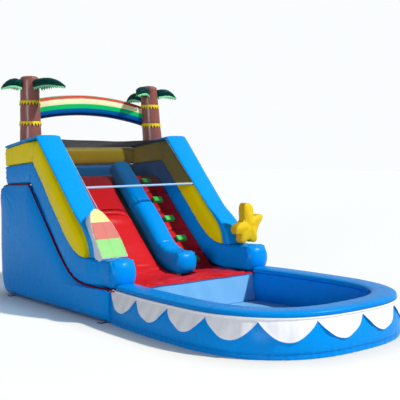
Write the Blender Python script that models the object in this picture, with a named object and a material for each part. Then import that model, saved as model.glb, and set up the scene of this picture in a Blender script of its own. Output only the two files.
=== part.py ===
"""Inflatable water slide: a padded tower with a slide lane and a climbing lane, a net over its platform,
two palms joined by a rainbow arch, and an oval splash pool in front.

Metres, +Z up. The slide runs down towards -Y, and +X is on the right for someone who faces the slide.
Every position below is in the tower's own frame, where y is 0 at the rear seam of the walls. An empty
named slide_frame then carries everything, so that the origin is the bottom centre of the whole object.
"""
import math

import bmesh
import bpy
from mathutils import Vector

# Clearances and skins
GAP = 0.0006
FIT_GAP = 0.002
WEB_THICKNESS = 0.005
PANEL_THICKNESS = 0.05

# Tower and walls
WALL_OUTER = 1.20
WALL_INNER = 0.85
BASE_INNER = 1.15
STRIP_PINCH = 0.03
BASE_FRONT_Y = -2.55
BASE_REAR_Y = 0.08
WALL_REAR_Y = 0.03
BASE_TOP_Z = 1.485
SIDE_SWELL = 0.07
REAR_SWELL = 0.08
REAR_WALL_DEPTH = 0.13
REAR_WALL_FRONT = -0.07
REAR_WALL_HALF = 0.80

# The front plane of the walls: its crest, its slope, and depths of other surfaces below it
CREST_Y = -0.866
CREST_Z = 2.126
SLOPE = math.radians(43.5)
CHUTE_DEPTH = 0.50
CHUTE_CROWN = 0.07
CHUTE_BENDS = (0.07, 0.30)
CLIMB_DEPTH = 0.57
CLIMB_BENDS = (0.001, 0.028)
DIVIDER_TOP_DEPTHS = (0.306, 0.335)
DIVIDER_LOW_DEPTH = 0.60

# Platform, lanes and landing
DECK_Z = 1.58
DECK_THICKNESS = 0.12
DECK_FRONT_Y = -0.60
DIVIDER_LEFT = 0.0
DIVIDER_RIGHT = 0.31
LANDING_Z = 0.39
LANDING_REAR_Y = -2.30
LIP_FRONT_Y = -2.635
LIP_Z = 0.3701
LIP_HALF = 0.0063
HOLD_TOP_Y = -0.705
HOLD_COUNT = 5
HOLD_PITCH = 0.368
HOLD_SIZE = (0.155, 0.085, 0.045)

# Pool
POOL_HALF = 1.25
POOL_CENTRE_Y = -3.75
POOL_FRONT = 1.42
POOL_REAR = 2.60
POOL_POWER = 2.6
POOL_WALL_HEIGHT = 0.362
POOL_WALL_DEPTH = 0.24
POOL_SWELL = 0.03
POOL_LEAN = 0.03
RIM_HALF = (0.135, 0.039)
RIM_Z = 0.403
FLOOR_THICKNESS = 0.03
TOOTH_COUNT = 12
TOOTH_DEPTH = 0.185

# Palms and rainbow
PALM_X = 1.0
PALM_Y = -0.30
PALM_BASE_Z = 2.00
PALM_TOP_Z = (2.955, 2.906)
PALM_RADII = (0.146, 0.122)
BAND_HEIGHTS = (2.287, 2.562)
BAND_DEPTH = 0.06
BAND_SKIN = 0.014
RIGHT_PALM_LEAN = 0.073
PALM_LEAVES = {  # bearing, length, drop below the trunk's top
    "left": ((171, 0.39, 0.115), (51, 0.46, 0.13), (291, 0.62, 0.115)),
    "right": ((350, 0.46, 0.115), (110, 0.43, 0.165), (211, 0.42, 0.10)),
}
ARCH_END_X = (-0.95, 0.90)
ARCH_Y = -0.185
ARCH_END_Z = (2.497, 2.462)
ARCH_RISE = 0.1135
ARCH_HALF = (0.09, 0.142)

# Figures on the wall feet
BOARD_LENGTH = 0.64
BOARD_WIDTH = 0.34
BOARD_THICKNESS = 0.13
BOARD_LEAN = math.radians(36)
STAR_THICKNESS = 0.16
STAR_OUTLINE = (
    (0.082, 0.130), (0.068, 0.235), (0.020, 0.290), (-0.060, 0.290), (-0.094, 0.235), (-0.096, 0.078),
    (-0.165, 0.042), (-0.225, -0.018), (-0.225, -0.092), (-0.150, -0.118), (-0.138, -0.195), (-0.090, -0.226),
    (-0.010, -0.190), (0.076, -0.226), (0.128, -0.200), (0.134, -0.110), (0.168, -0.020), (0.235, 0.075),
    (0.240, 0.125), (0.160, 0.138),
)

# Anchors and service fittings
ANCHOR_YS = (-0.16, -2.46)
RING_BAR_X = 1.285
RING_BAR_Z = 0.0095
RING_WIRE = 0.0035
RING_HALF = 0.026
SLEEVE_X = -0.62
SLEEVE_RADIUS = 0.125
SLEEVE_WALL = 0.007
SLEEVE_LENGTH = 0.30
ZIP_X = 0.55
ZIP_Z = 0.80
ZIP_LENGTH = 0.36
FLAP_RISE = 0.06

BLUE = (0.01, 0.17, 0.62, 1)
LIGHT_BLUE = (0.01, 0.30, 0.85, 1)
POOL_BLUE = (0.25, 0.55, 0.85, 1)
YELLOW = (0.85, 0.62, 0.01, 1)
RED = (0.70, 0.02, 0.02, 1)
GREEN = (0.10, 0.60, 0.12, 1)
WHITE = (0.85, 0.85, 0.88, 1)
BROWN = (0.16, 0.045, 0.035, 1)
TEAL = (0.01, 0.20, 0.17, 1)
NET = (0.03, 0.03, 0.035, 1)
WEBBING = (0.02, 0.03, 0.12, 1)
STEEL = (0.6, 0.6, 0.62, 1)
BLACK = (0.02, 0.02, 0.02, 1)


def clear_scene():
    """Remove whatever the file opened with."""
    for thing in list(bpy.data.objects):
        bpy.data.objects.remove(thing, do_unlink=True)


def vinyl(name, colour, roughness=0.32, metallic=0.0):
    """One Principled material for one piece."""
    mat = bpy.data.materials.new(name)
    mat.use_nodes = True
    shader = mat.node_tree.nodes["Principled BSDF"]
    shader.inputs["Base Color"].default_value = colour
    shader.inputs["Roughness"].default_value = roughness
    shader.inputs["Metallic"].default_value = metallic
    mat.diffuse_color = colour
    return mat


def add_piece(name, verts, faces, colour, roughness=0.32, metallic=0.0):
    """Make one closed piece with its faces outward, carried by the slide's frame."""
    mesh = bpy.data.meshes.new(name)
    mesh.from_pydata([tuple(v) for v in verts], [], faces)
    shell = bmesh.new()
    shell.from_mesh(mesh)
    bmesh.ops.recalc_face_normals(shell, faces=shell.faces)
    shell.to_mesh(mesh)
    shell.free()
    mesh.shade_smooth()
    mesh.set_sharp_from_angle(angle=math.radians(38))
    piece = bpy.data.objects.new(name, mesh)
    bpy.context.collection.objects.link(piece)
    mesh.materials.append(vinyl(name + "_vinyl", colour, roughness, metallic))
    piece.parent = bpy.data.objects["slide_frame"]
    return piece


def loft(name, rings, colour, roughness=0.32, metallic=0.0, closed=False):
    """Skin a run of equal rings. An open run gets a flat face at each end, a closed run joins up."""
    count = len(rings[0])
    verts = [point for ring in rings for point in ring]
    faces = []
    last = len(rings) if closed else len(rings) - 1
    for i in range(last):
        a, b = i * count, (i + 1) % len(rings) * count
        for k in range(count):
            n = (k + 1) % count
            faces.append((a + k, a + n, b + n, b + k))
    if not closed:
        faces.append(tuple(range(count)))
        faces.append(tuple(range(len(verts) - count, len(verts))))
    return add_piece(name, verts, faces, colour, roughness, metallic)


def as_cutter(piece):
    """Keep a piece only as a cutting guide."""
    piece.hide_render = True
    piece.display_type = "WIRE"
    return piece


def cut(piece, cutter):
    """Cut a piece by a guide, so that it fits its neighbour."""
    fit = piece.modifiers.new("fit_" + cutter.name, "BOOLEAN")
    fit.operation = "DIFFERENCE"
    fit.solver = "EXACT"
    fit.object = cutter


def squircle(count, power):
    """Unit ring of a swollen rectangle."""
    ring = []
    for k in range(count):
        angle = math.tau * (k + 0.5) / count
        c, s = math.cos(angle), math.sin(angle)
        u = math.copysign(abs(c) ** (2 / power), c)
        v = math.copysign(abs(s) ** (2 / power), s)
        ring.append((u, v))
    return ring


def section(low, high, x_range, count=16, power=3.6, grow=0.0):
    """Ring of a tube seen from its side as the line from low to high, both (y, z)."""
    x_mid = (x_range[0] + x_range[1]) / 2
    x_half = abs(x_range[1] - x_range[0]) / 2 - GAP / 2 + grow
    low, high = Vector(low), Vector(high)
    mid = (low + high) / 2
    half = (high - low) / 2
    half *= (half.length - GAP / 2 + grow) / half.length
    return [Vector((x_mid + u * x_half, mid.x + v * half.x, mid.y + v * half.y))
            for u, v in squircle(count, power)]


def swollen_end(ring, push, steps=(0.45, 0.78, 0.95), power=2.6):
    """Shrinking rings that close a tube with a swollen face, pushed out along a vector."""
    centre = sum(ring, Vector()) / len(ring)
    rings = []
    for t in steps:
        scale = (1 - t ** power) ** (1 / power)
        rings.append([centre + (point - centre) * scale + Vector(push) * t for point in ring])
    return rings


def spline(points, steps):
    """Catmull-Rom curve through points of any size, with a few steps on each span."""
    run = [Vector(p) for p in points]
    run = [run[0] * 2 - run[1]] + run + [run[-1] * 2 - run[-2]]
    out = []
    for i in range(1, len(run) - 2):
        p0, p1, p2, p3 = run[i - 1:i + 3]
        for k in range(steps):
            t = k / steps
            out.append(0.5 * (2 * p1 + (p2 - p0) * t + (2 * p0 - 5 * p1 + 4 * p2 - p3) * t ** 2
                              + (3 * p1 - p0 - 3 * p2 + p3) * t ** 3))
    return out + [run[-2]]


def closed_spline(points, steps):
    """Catmull-Rom curve that closes on itself."""
    run = [Vector(p) for p in points]
    count = len(run)
    out = []
    for i in range(count):
        p0, p1, p2, p3 = (run[(i + k) % count] for k in (-1, 0, 1, 2))
        for k in range(steps):
            t = k / steps
            out.append(0.5 * (2 * p1 + (p2 - p0) * t + (2 * p0 - 5 * p1 + 4 * p2 - p3) * t ** 2
                              + (3 * p1 - p0 - 3 * p2 + p3) * t ** 3))
    return out


def rounded_path(points, reaches, steps=6):
    """Polyline whose inner corners become curves that start a given reach from the corner."""
    path = [Vector(points[0])]
    for i in range(1, len(points) - 1):
        corner = Vector(points[i])
        start = corner + (Vector(points[i - 1]) - corner).normalized() * reaches[i - 1]
        end = corner + (Vector(points[i + 1]) - corner).normalized() * reaches[i - 1]
        for k in range(steps + 1):
            t = k / steps
            path.append(start * (1 - t) ** 2 + corner * 2 * t * (1 - t) + end * t ** 2)
    path.append(Vector(points[-1]))
    return path


def slope_z(y, depth):
    """Height of a surface that lies at a depth below the walls' front plane."""
    return CREST_Z - depth / math.cos(SLOPE) + (y - CREST_Y) * math.tan(SLOPE)


def slope_y(z, depth):
    """Where that surface reaches a height."""
    return CREST_Y + (z - CREST_Z + depth / math.cos(SLOPE)) / math.tan(SLOPE)


# Side view of the walls as rows of (y, z): seam, top of the blue, top of the yellow, front of the strip
WALL_STRAIGHT = (
    ((WALL_REAR_Y, 1.490), (WALL_REAR_Y, 1.750), (WALL_REAR_Y, 1.985), (WALL_REAR_Y, 2.030)),
    ((-0.650, 1.520), (-0.745, 1.805), (-0.850, 2.105), (-0.875, 2.155)),
    ((-1.050, 1.090), (-1.205, 1.350), (-1.385, 1.580), (-1.410, 1.612)),
)
WALL_FOOT = (
    ((-1.420, 0.700), (-1.610, 0.940), (-1.820, 1.150), (-1.848, 1.182)),
    ((-1.570, 0.565), (-1.755, 0.820), (-1.990, 0.985), (-2.050, 1.030)),
    ((-1.700, 0.475), (-1.880, 0.745), (-2.065, 0.855), (-2.175, 0.900)),
    ((-1.860, 0.405), (-1.990, 0.712), (-2.090, 0.765), (-2.220, 0.790)),
    ((-2.050, 0.378), (-2.090, 0.705), (-2.103, 0.709), (-2.240, 0.709)),
)
PILLOW = (
    ((-2.050, 0.378), (-2.090, 0.705)),
    ((-2.250, 0.372), (-2.270, 0.705)),
    ((-2.585, 0.379), (-2.585, 0.722)),
)


def wall_rows():
    """Wall rows from the rear to the end of the sloping part, with the foot as a smooth curve."""
    flat = [[coordinate for point in row for coordinate in point] for row in WALL_FOOT]
    foot = [[(row[i], row[i + 1]) for i in range(0, len(row), 2)] for row in smooth_rows(flat, 2)]
    return [list(row) for row in WALL_STRAIGHT] + foot


def smooth_rows(rows, steps):
    """Spline through rows of plain numbers."""
    columns = [spline([(value, 0.0) for value in column], steps) for column in zip(*rows)]
    return [[point.x for point in row] for row in zip(*columns)]


def seam_line():
    """The seam between base and walls, from the rear to the front, as (y, z)."""
    rows = [row[0] for row in wall_rows()]
    return rows + [PILLOW[1][0], (BASE_FRONT_Y + GAP, PILLOW[1][0][1] + 0.005)]


def wall_side(side, y=0.0, inner_pinch=0.0, outer_pinch=0.0):
    """x range of a wall, from inner to outer face. The pinches narrow it down the slope."""
    t = min(max((CREST_Y - y) / 0.9, 0.0), 1.0)
    return (side * (WALL_INNER + inner_pinch * t), side * (WALL_OUTER - outer_pinch * t))


def lower_wall_rings(side, grow=0.0):
    """Blue tube along the bottom of a wall, with the square pillow at its foot."""
    pairs = [(row[0], row[1]) for row in wall_rows()] + list(PILLOW[1:])
    rings = [section(low, high, wall_side(side), power=6, grow=grow) for low, high in pairs]
    return rings + swollen_end(rings[-1], (0, -0.055 - grow, 0))


def strip_rings(side, grow=0.0):
    """Light blue strip along the front of a wall."""
    pinch = (STRIP_PINCH, 0.0) if side < 0 else (0.0, STRIP_PINCH)
    rings = []
    for row in wall_rows():
        span = wall_side(side, row[2][0], *pinch)
        rings.append(section(row[2], row[3], span, power=2.3, grow=grow))
    if grow:
        rings.append([point - Vector((0, 0, grow)) for point in rings[-1]])
    return rings


def build_walls():
    """Both side walls, each a stack of tubes on the base's seam."""
    for side, word in ((-1, "left"), (1, "right")):
        loft(word + "_lower_wall", lower_wall_rings(side), BLUE)
        pinch = STRIP_PINCH * 0.7 if side > 0 else 0.0
        yellow = [section(row[1], row[2], wall_side(side, row[2][0], 0.0, pinch), power=6) for row in wall_rows()]
        loft(word + "_yellow_tube", yellow, YELLOW)
        loft(word + "_front_strip", strip_rings(side), LIGHT_BLUE)


def swollen_panel(name, outline, centre, place, swell, colour, grow=0.0):
    """Panel with a flat back whose front swells over its outline. place(u, v, h) gives each point."""
    centre = Vector(centre)
    rings = [[place(u, v, -PANEL_THICKNESS) for u, v in outline], [place(u, v, 0.0) for u, v in outline]]
    for s in (0.985, 0.94, 0.84, 0.62, 0.32):
        rise = (swell + grow) * (1 - s ** 4) ** 0.25
        ring = [centre + (Vector(point) - centre) * s for point in outline]
        rings.append([place(point.x, point.y, rise) for point in ring])
    return loft(name, rings, colour)


def side_panel(name, side, grow=0.0):
    """One side of the base, under the seam."""
    top = [(y, z - GAP + grow) for y, z in seam_line()]
    rear = BASE_REAR_Y + grow
    outline = [(rear, 0.0), (rear, BASE_TOP_Z - 0.10), (rear - 0.015, BASE_TOP_Z - 0.03)] + top
    outline.append((BASE_FRONT_Y + GAP, 0.0))

    def place(u, v, h):
        return Vector((side * (BASE_INNER + PANEL_THICKNESS * 0.6 + h), u, v))
    return swollen_panel(name, outline, (-0.80, 0.33), place, SIDE_SWELL, BLUE, grow)


def rear_panel(name, grow=0.0):
    """The back of the base, between the side panels' inner faces."""
    half = BASE_INNER - PANEL_THICKNESS * 0.4 - GAP
    low, high = 0.0, BASE_TOP_Z - 0.008
    outline = []
    for k in range(8):
        outline.append((-half + half * k / 4, low))
    for k in range(5):
        outline.append((half, low + (high - low) * k / 5))
    for k in range(8):
        outline.append((half - half * k / 4, high))
    for k in range(5):
        outline.append((-half, high - (high - low) * k / 5))

    def place(u, v, h):
        return Vector((u, BASE_REAR_Y + h, v))
    return swollen_panel(name, outline, (0.0, (low + high) / 2), place, REAR_SWELL, BLUE, grow)


def block(name, low, high, colour, bevel=0.0, segments=2, roughness=0.32):
    """Box between two corners, with rounded edges if asked."""
    x0, y0, z0 = low
    x1, y1, z1 = high
    verts = [(x, y, z) for z in (z0, z1) for y in (y0, y1) for x in (x0, x1)]
    faces = [(0, 1, 3, 2), (4, 6, 7, 5), (0, 4, 5, 1), (2, 3, 7, 6), (0, 2, 6, 4), (1, 5, 7, 3)]
    piece = add_piece(name, verts, faces, colour, roughness)
    if bevel:
        rounding = piece.modifiers.new("rounding", "BEVEL")
        rounding.width = bevel
        rounding.segments = segments
    return piece


def cylinder_guide(name, centre, axis, radius, length, count=24):
    """Round cutting guide along x or y."""
    centre = Vector(centre)
    along = Vector(axis)
    side = Vector((0, 1, 0)) if abs(along.x) > 0.5 else Vector((1, 0, 0))
    up = Vector((0, 0, 1))
    rings = []
    for end in (-0.5, 0.5):
        ring = []
        for k in range(count):
            a = math.tau * k / count
            ring.append(centre + along * end * length + (side * math.cos(a) + up * math.sin(a)) * radius)
        rings.append(ring)
    return as_cutter(loft(name, rings, BLACK))


def build_base():
    """The tower's air chamber, as the panels and inner webs that it is sewn from."""
    for side, word in ((-1, "left"), (1, "right")):
        side_panel("base_" + word + "_panel", side)
    rear = rear_panel("base_rear_panel")
    inlet_at = (SLEEVE_X, BASE_REAR_Y, SLEEVE_RADIUS + 0.001)
    inlet = cylinder_guide("inlet_guide", inlet_at, (0, 1, 0), 0.095, 0.5)
    cut(rear, inlet)
    floor_half = BASE_INNER - PANEL_THICKNESS * 0.4 - GAP
    rear_y = BASE_REAR_Y - PANEL_THICKNESS - GAP
    front_y = BASE_FRONT_Y + 0.03
    block("base_floor_panel", (-floor_half, front_y + GAP, 0), (floor_half, rear_y, 0.02), BLUE)
    block("base_front_panel", (-floor_half, BASE_FRONT_Y + GAP, 0), (floor_half, front_y, 0.27), POOL_BLUE)
    build_baffles(rear_y, front_y)
    block("deck_pad", (-WALL_INNER + GAP, DECK_FRONT_Y, DECK_Z - DECK_THICKNESS),
          (WALL_INNER - GAP, REAR_WALL_FRONT - GAP, DECK_Z), RED, 0.02)


def lane_path(depth, bends):
    """Side view of a lane's surface, from the platform to the landing."""
    crest = (slope_y(DECK_Z, depth), DECK_Z)
    foot = (slope_y(LANDING_Z, depth), LANDING_Z)
    start = (DECK_FRONT_Y - GAP * 2, DECK_Z)
    end = (LANDING_REAR_Y + GAP, LANDING_Z)
    return rounded_path([start, crest, foot, end], bends)


def build_baffles(rear_y, front_y):
    """Upright webs inside the base, which carry the lanes and the divider, with vent holes."""
    lanes = (("chute", -0.44, CHUTE_DEPTH, CHUTE_BENDS),
             ("middle", 0.12, DIVIDER_LOW_DEPTH, (0.005, 0.30)),
             ("climb", 0.565, CLIMB_DEPTH, CLIMB_BENDS))
    for word, x, depth, bends in lanes:
        drop = 0.01 if word == "middle" else DECK_THICKNESS + 0.004
        deck_z = DECK_Z - DECK_THICKNESS - 0.002
        top = []
        for y, z in lane_path(depth, bends):
            if LANDING_REAR_Y + 0.01 < y < DECK_FRONT_Y - 0.01:
                top.append((y, min(z - drop, deck_z)))
        low_z = 0.02 + GAP
        landing_z = 0.27
        outline = [(rear_y - GAP, low_z), (rear_y - GAP, deck_z), (DECK_FRONT_Y, deck_z)]
        outline += top
        outline += [(LANDING_REAR_Y, landing_z), (front_y + 0.002, landing_z), (front_y + 0.002, low_z)]
        sides = []
        for offset in (-WEB_THICKNESS / 2, WEB_THICKNESS / 2):
            sides.append([Vector((x + offset, y, z)) for y, z in outline])
        web = loft("baffle_" + word, sides, WHITE, 0.5)
        for k, (y, z, r) in enumerate(((-0.45, 0.75, 0.13), (-1.0, 0.45, 0.11), (-1.55, 0.25, 0.08))):
            cut(web, cylinder_guide("vent_%s_%d" % (word, k), (x, y, z), (1, 0, 0), r, 0.1, 16))


def lane(name, depth, span, crown, bends):
    """Red lane pad: crowned across, following the platform edge, the slope and the run-out."""
    rings = []
    columns = 9
    for y, z in lane_path(depth, bends):
        top, low = [], []
        for k in range(columns):
            t = k / (columns - 1)
            rise = crown * (1 - (2 * t - 1) ** 4)
            x = span[0] + (span[1] - span[0]) * t
            top.append(Vector((x, y, z + rise)))
        fade = min(1.0, (z - LANDING_Z) / 0.3, (DECK_Z - z + 0.02) / 0.2)
        for k, point in enumerate(top):
            point.z = z + (point.z - z) * max(fade, 0.0)
            if k % 4 == 0:
                low.append(Vector((point.x, y, z - DECK_THICKNESS)))
        rings.append(top + low[::-1])
    loft(name, rings, RED)


def build_lanes():
    """Slide chute, climbing wall, foot holds, divider and landing."""
    lane("slide_chute", CHUTE_DEPTH, (-WALL_INNER + GAP, DIVIDER_LEFT - GAP), CHUTE_CROWN, CHUTE_BENDS)
    climb_span = (DIVIDER_RIGHT + GAP, WALL_INNER - GAP)
    lane("climbing_wall", CLIMB_DEPTH, climb_span, 0.0, CLIMB_BENDS)
    build_holds((climb_span[0] + climb_span[1]) / 2 + 0.02)
    build_divider()
    block("landing_pad", (-WALL_INNER + GAP, BASE_FRONT_Y + GAP, 0.275),
          (WALL_INNER - GAP, LANDING_REAR_Y, LANDING_Z), RED, 0.015)
    lip_y = (LIP_FRONT_Y + BASE_FRONT_Y) / 2
    lip_half = (BASE_FRONT_Y - LIP_FRONT_Y) / 2 - GAP
    lip = []
    for x in (-WALL_OUTER, WALL_OUTER):
        lip.append([Vector((x, lip_y + u * lip_half, LIP_Z + v * LIP_HALF)) for u, v in squircle(12, 2.8)])
    loft("landing_lip", lip, RED)


def build_holds(x_mid):
    """Foot holds up the climbing wall, each a small padded block."""
    width, reach, height = HOLD_SIZE
    along = Vector((0, -math.cos(SLOPE), -math.sin(SLOPE)))
    normal = Vector((0, -math.sin(SLOPE), math.cos(SLOPE)))
    start = Vector((x_mid, HOLD_TOP_Y, slope_z(HOLD_TOP_Y, CLIMB_DEPTH)))
    for k in range(HOLD_COUNT):
        foot = start + along * HOLD_PITCH * k + normal * GAP
        corners = []
        for lift in (0, height):
            for step in (-reach / 2, reach / 2):
                for x in (-width / 2, width / 2):
                    corners.append(foot + along * step + normal * lift + Vector((x, 0, 0)))
        faces = [(0, 1, 3, 2), (4, 6, 7, 5), (0, 4, 5, 1), (2, 3, 7, 6), (0, 2, 6, 4), (1, 5, 7, 3)]
        hold = add_piece("foot_hold_%d" % (k + 1), corners, faces, GREEN)
        rounding = hold.modifiers.new("rounding", "BEVEL")
        rounding.width = 0.012
        rounding.segments = 2


def build_divider():
    """Blue tube between the lanes, from the edge of the open platform to its own square pillow."""
    span = (DIVIDER_LEFT, DIVIDER_RIGHT)
    top = 1.80
    deck = DECK_Z + GAP
    normal = Vector((-math.sin(SLOPE), math.cos(SLOPE)))
    pairs = [((DECK_FRONT_Y - 0.004, deck), (slope_y(top, DIVIDER_TOP_DEPTHS[0]) + 0.02, top))]
    for y, top_depth in zip((-0.80, -1.60), DIVIDER_TOP_DEPTHS):
        low = Vector((y, slope_z(y, DIVIDER_LOW_DEPTH)))
        pairs.append((tuple(low), tuple(low + normal * (DIVIDER_LOW_DEPTH - top_depth))))
    pairs += [((-1.76, 0.475), (-1.905, 0.725)), ((-1.90, 0.415), (-2.005, 0.685)),
              ((-2.05, 0.397), (-2.09, 0.672)), ((-2.20, 0.396), (-2.20, 0.672))]
    rings = [section(low, high, span, power=2.6 if i < 4 else 3.4) for i, (low, high) in enumerate(pairs)]
    rear = swollen_end(rings[0], (0, 0.03, 0))
    loft("divider_tube", rear[::-1] + rings + swollen_end(rings[-1], (0, -0.08, 0)), BLUE)


def build_rear_wall():
    """Two bolsters that close the back of the platform, round at both ends."""
    for name, low, high, colour in (("rear_lower_bolster", BASE_TOP_Z + GAP, 1.75, BLUE),
                                    ("rear_upper_bolster", 1.75 + GAP, 1.99, YELLOW)):
        middle = (REAR_WALL_FRONT + REAR_WALL_DEPTH / 2, (low + high) / 2)
        half = (REAR_WALL_DEPTH / 2, (high - low) / 2)
        rings = []
        for at in (-REAR_WALL_HALF, 0, REAR_WALL_HALF):
            rings.append([Vector((at, middle[0] + u * half[0], middle[1] + v * half[1]))
                          for u, v in squircle(14, 2.8)])
        left = swollen_end(rings[0], (-0.04, 0, 0))
        loft(name, left[::-1] + rings + swollen_end(rings[-1], (0.04, 0, 0)), colour)


def pool_outline(start_y, count):
    """Points and outward normals along the pool's plan, from the left end round the front."""
    dense = []
    steps = 720
    for k in range(steps + 1):
        a = math.pi * (k / steps) * 1.5 - math.pi * 0.25
        c, s = -math.cos(a), -math.sin(a)
        depth = POOL_FRONT if s < 0 else POOL_REAR
        x = POOL_HALF * math.copysign(abs(c) ** (2 / POOL_POWER), c)
        y = POOL_CENTRE_Y + depth * math.copysign(abs(s) ** (2 / POOL_POWER), s)
        if y <= start_y:
            dense.append(Vector((x, y)))
    lengths = [0.0]
    for a, b in zip(dense, dense[1:]):
        lengths.append(lengths[-1] + (b - a).length)
    points = []
    j = 0
    for k in range(count + 1):
        target = lengths[-1] * k / count
        while j < len(dense) - 2 and lengths[j + 1] < target:
            j += 1
        t = (target - lengths[j]) / (lengths[j + 1] - lengths[j])
        points.append(dense[j].lerp(dense[j + 1], t))
    points[0].y = start_y
    points[-1].y = start_y
    out = []
    for k, point in enumerate(points):
        along = points[min(k + 1, count)] - points[max(k - 1, 0)]
        normal = Vector((along.y, -along.x)).normalized()
        if k in (0, count):
            normal = Vector((math.copysign(1, point.x), 0))
        if normal.dot(point - Vector((0, POOL_CENTRE_Y))) < 0:
            normal = -normal
        out.append((point, normal))
    return out


def pool_wall_offset(z):
    """How far inside the plan the pool wall's outer face stands at a height."""
    t = min(max(z / POOL_WALL_HEIGHT, 0.0), 1.0)
    return POOL_LEAN * t - POOL_SWELL * math.sin(math.pi * t) ** 0.7


def around_pool(start_y, count, profile):
    """Rings made by carrying an (inward offset, z) profile round the pool's plan."""
    rings = []
    for point, normal in pool_outline(start_y, count):
        ring = []
        for inward, z in profile:
            at = point - normal * inward
            ring.append(Vector((at.x, at.y, z)))
        rings.append(ring)
    return rings


def build_pool():
    """Lower wall, rim tube, floor and the scalloped valance."""
    outer = []
    for k in range(7):
        z = POOL_WALL_HEIGHT * k / 6
        outer.append((pool_wall_offset(z), z))
    inner = [(POOL_WALL_DEPTH - offset * 0.8 + POOL_LEAN, z) for offset, z in outer[::2][::-1]]
    start = BASE_FRONT_Y - GAP
    loft("pool_wall", around_pool(start, 40, outer + inner), BLUE)
    rim = [(POOL_LEAN + RIM_HALF[0] + u * RIM_HALF[0], RIM_Z + v * RIM_HALF[1]) for u, v in squircle(12, 2.4)]
    loft("pool_rim", around_pool(LIP_FRONT_Y - 0.002, 40, rim), BLUE)
    floor_rings = []
    inset = max(offset for offset, z in inner) + 0.004
    for z in (0.0, FLOOR_THICKNESS):
        plan = around_pool(start, 40, [(inset, z)])
        floor_rings.append([ring[0] for ring in plan])
    loft("pool_floor", floor_rings, POOL_BLUE)
    build_valance()


def build_valance():
    """White scallops hanging from a piping round the pool wall, as one sewn strip."""
    per_tooth = 8
    band = 0.020
    top_z = POOL_WALL_HEIGHT - 0.005
    clear = 0.005
    skin = 0.004
    rings = []
    count = TOOTH_COUNT * per_tooth
    for k, (point, normal) in enumerate(pool_outline(BASE_FRONT_Y - 0.006, count)):
        scallop = math.sin(math.pi * (k % per_tooth) / per_tooth)
        depth = band + TOOTH_DEPTH * scallop ** 0.9
        ring = []
        rows = 4
        for r in range(rows):
            z = top_z - depth * r / (rows - 1)
            at = point - normal * (pool_wall_offset(z) - clear - skin)
            ring.append(Vector((at.x, at.y, z)))
        for r in reversed(range(rows)):
            z = top_z - depth * r / (rows - 1)
            at = point - normal * (pool_wall_offset(z) - clear)
            ring.append(Vector((at.x, at.y, z)))
        rings.append(ring)
    loft("scalloped_valance", rings, WHITE)


def palm_radius(z):
    """Trunk radius at a height."""
    t = (z - PALM_BASE_Z) / (PALM_TOP_Z[0] - PALM_BASE_Z)
    return PALM_RADII[0] + (PALM_RADII[1] - PALM_RADII[0]) * t


def palm_centre(side, z):
    """Trunk centre at a height: the right palm leans in."""
    lean = RIGHT_PALM_LEAN if side > 0 else 0.0
    return Vector((side * PALM_X - lean * (z - 2.07) + (0.015 if side > 0 else 0.018), PALM_Y, z))


def trunk_rings(side, grow=0.0, base=PALM_BASE_Z):
    """Rings of a trunk, from its base to its domed top."""
    sides = 18
    top = PALM_TOP_Z[0] if side < 0 else PALM_TOP_Z[1]
    levels = [(base, 1.0), (2.30, 1.0), (2.56, 1.0), (top - 0.095, 1.0), (top - 0.05, 0.95),
              (top - 0.02, 0.80), (top - 0.005, 0.55), (top, 0.22)]
    rings = []
    for z, scale in levels:
        centre = palm_centre(side, z)
        radius = (palm_radius(z) + grow) * scale
        rings.append([centre + Vector((math.cos(math.tau * k / sides), math.sin(math.tau * k / sides), 0))
                      * radius for k in range(sides)])
    return rings


def build_palm(side, word):
    """Trunk with a domed top, two fringed bands and three drooping leaves."""
    rings = trunk_rings(side)
    for point in rings[0]:
        point.z = strip_middle(point.y)
    trunk = loft(word + "_palm_trunk", rings, BROWN)
    cut(trunk, as_cutter(loft(word + "_strip_guide", strip_rings(side, FIT_GAP), BLACK)))
    for n, low in enumerate(BAND_HEIGHTS):
        build_band(side, "%s_trunk_band_%d" % (word, n + 1), low)
    for n, (bearing, length, drop) in enumerate(PALM_LEAVES[word]):
        build_leaf(side, "%s_palm_leaf_%d" % (word, n + 1), math.radians(bearing), length, drop)


def strip_middle(y):
    """Height of the middle of the front strip on the level part of the wall."""
    rear, crest = WALL_STRAIGHT[0], WALL_STRAIGHT[1]
    y0, z0 = (rear[2][0] + rear[3][0]) / 2, (rear[2][1] + rear[3][1]) / 2
    y1, z1 = (crest[2][0] + crest[3][0]) / 2, (crest[2][1] + crest[3][1]) / 2
    return z0 + (z1 - z0) * (y - y0) / (y1 - y0)


def build_band(side, name, low):
    """Yellow band round a trunk, with its lower edge cut into points."""
    rings = []
    count = 36
    for k in range(count):
        a = math.tau * k / count
        out = Vector((math.cos(a), math.sin(a), 0))
        bottom = low + (0.026 if k % 2 else 0.0)
        ring = []
        high = low + BAND_DEPTH
        for z, skin in ((bottom, BAND_SKIN), (high, BAND_SKIN), (high, 0.003), (bottom, 0.003)):
            ring.append(palm_centre(side, z) + out * (palm_radius(z) + skin))
        rings.append(ring)
    loft(name, rings, YELLOW, closed=True)


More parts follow.
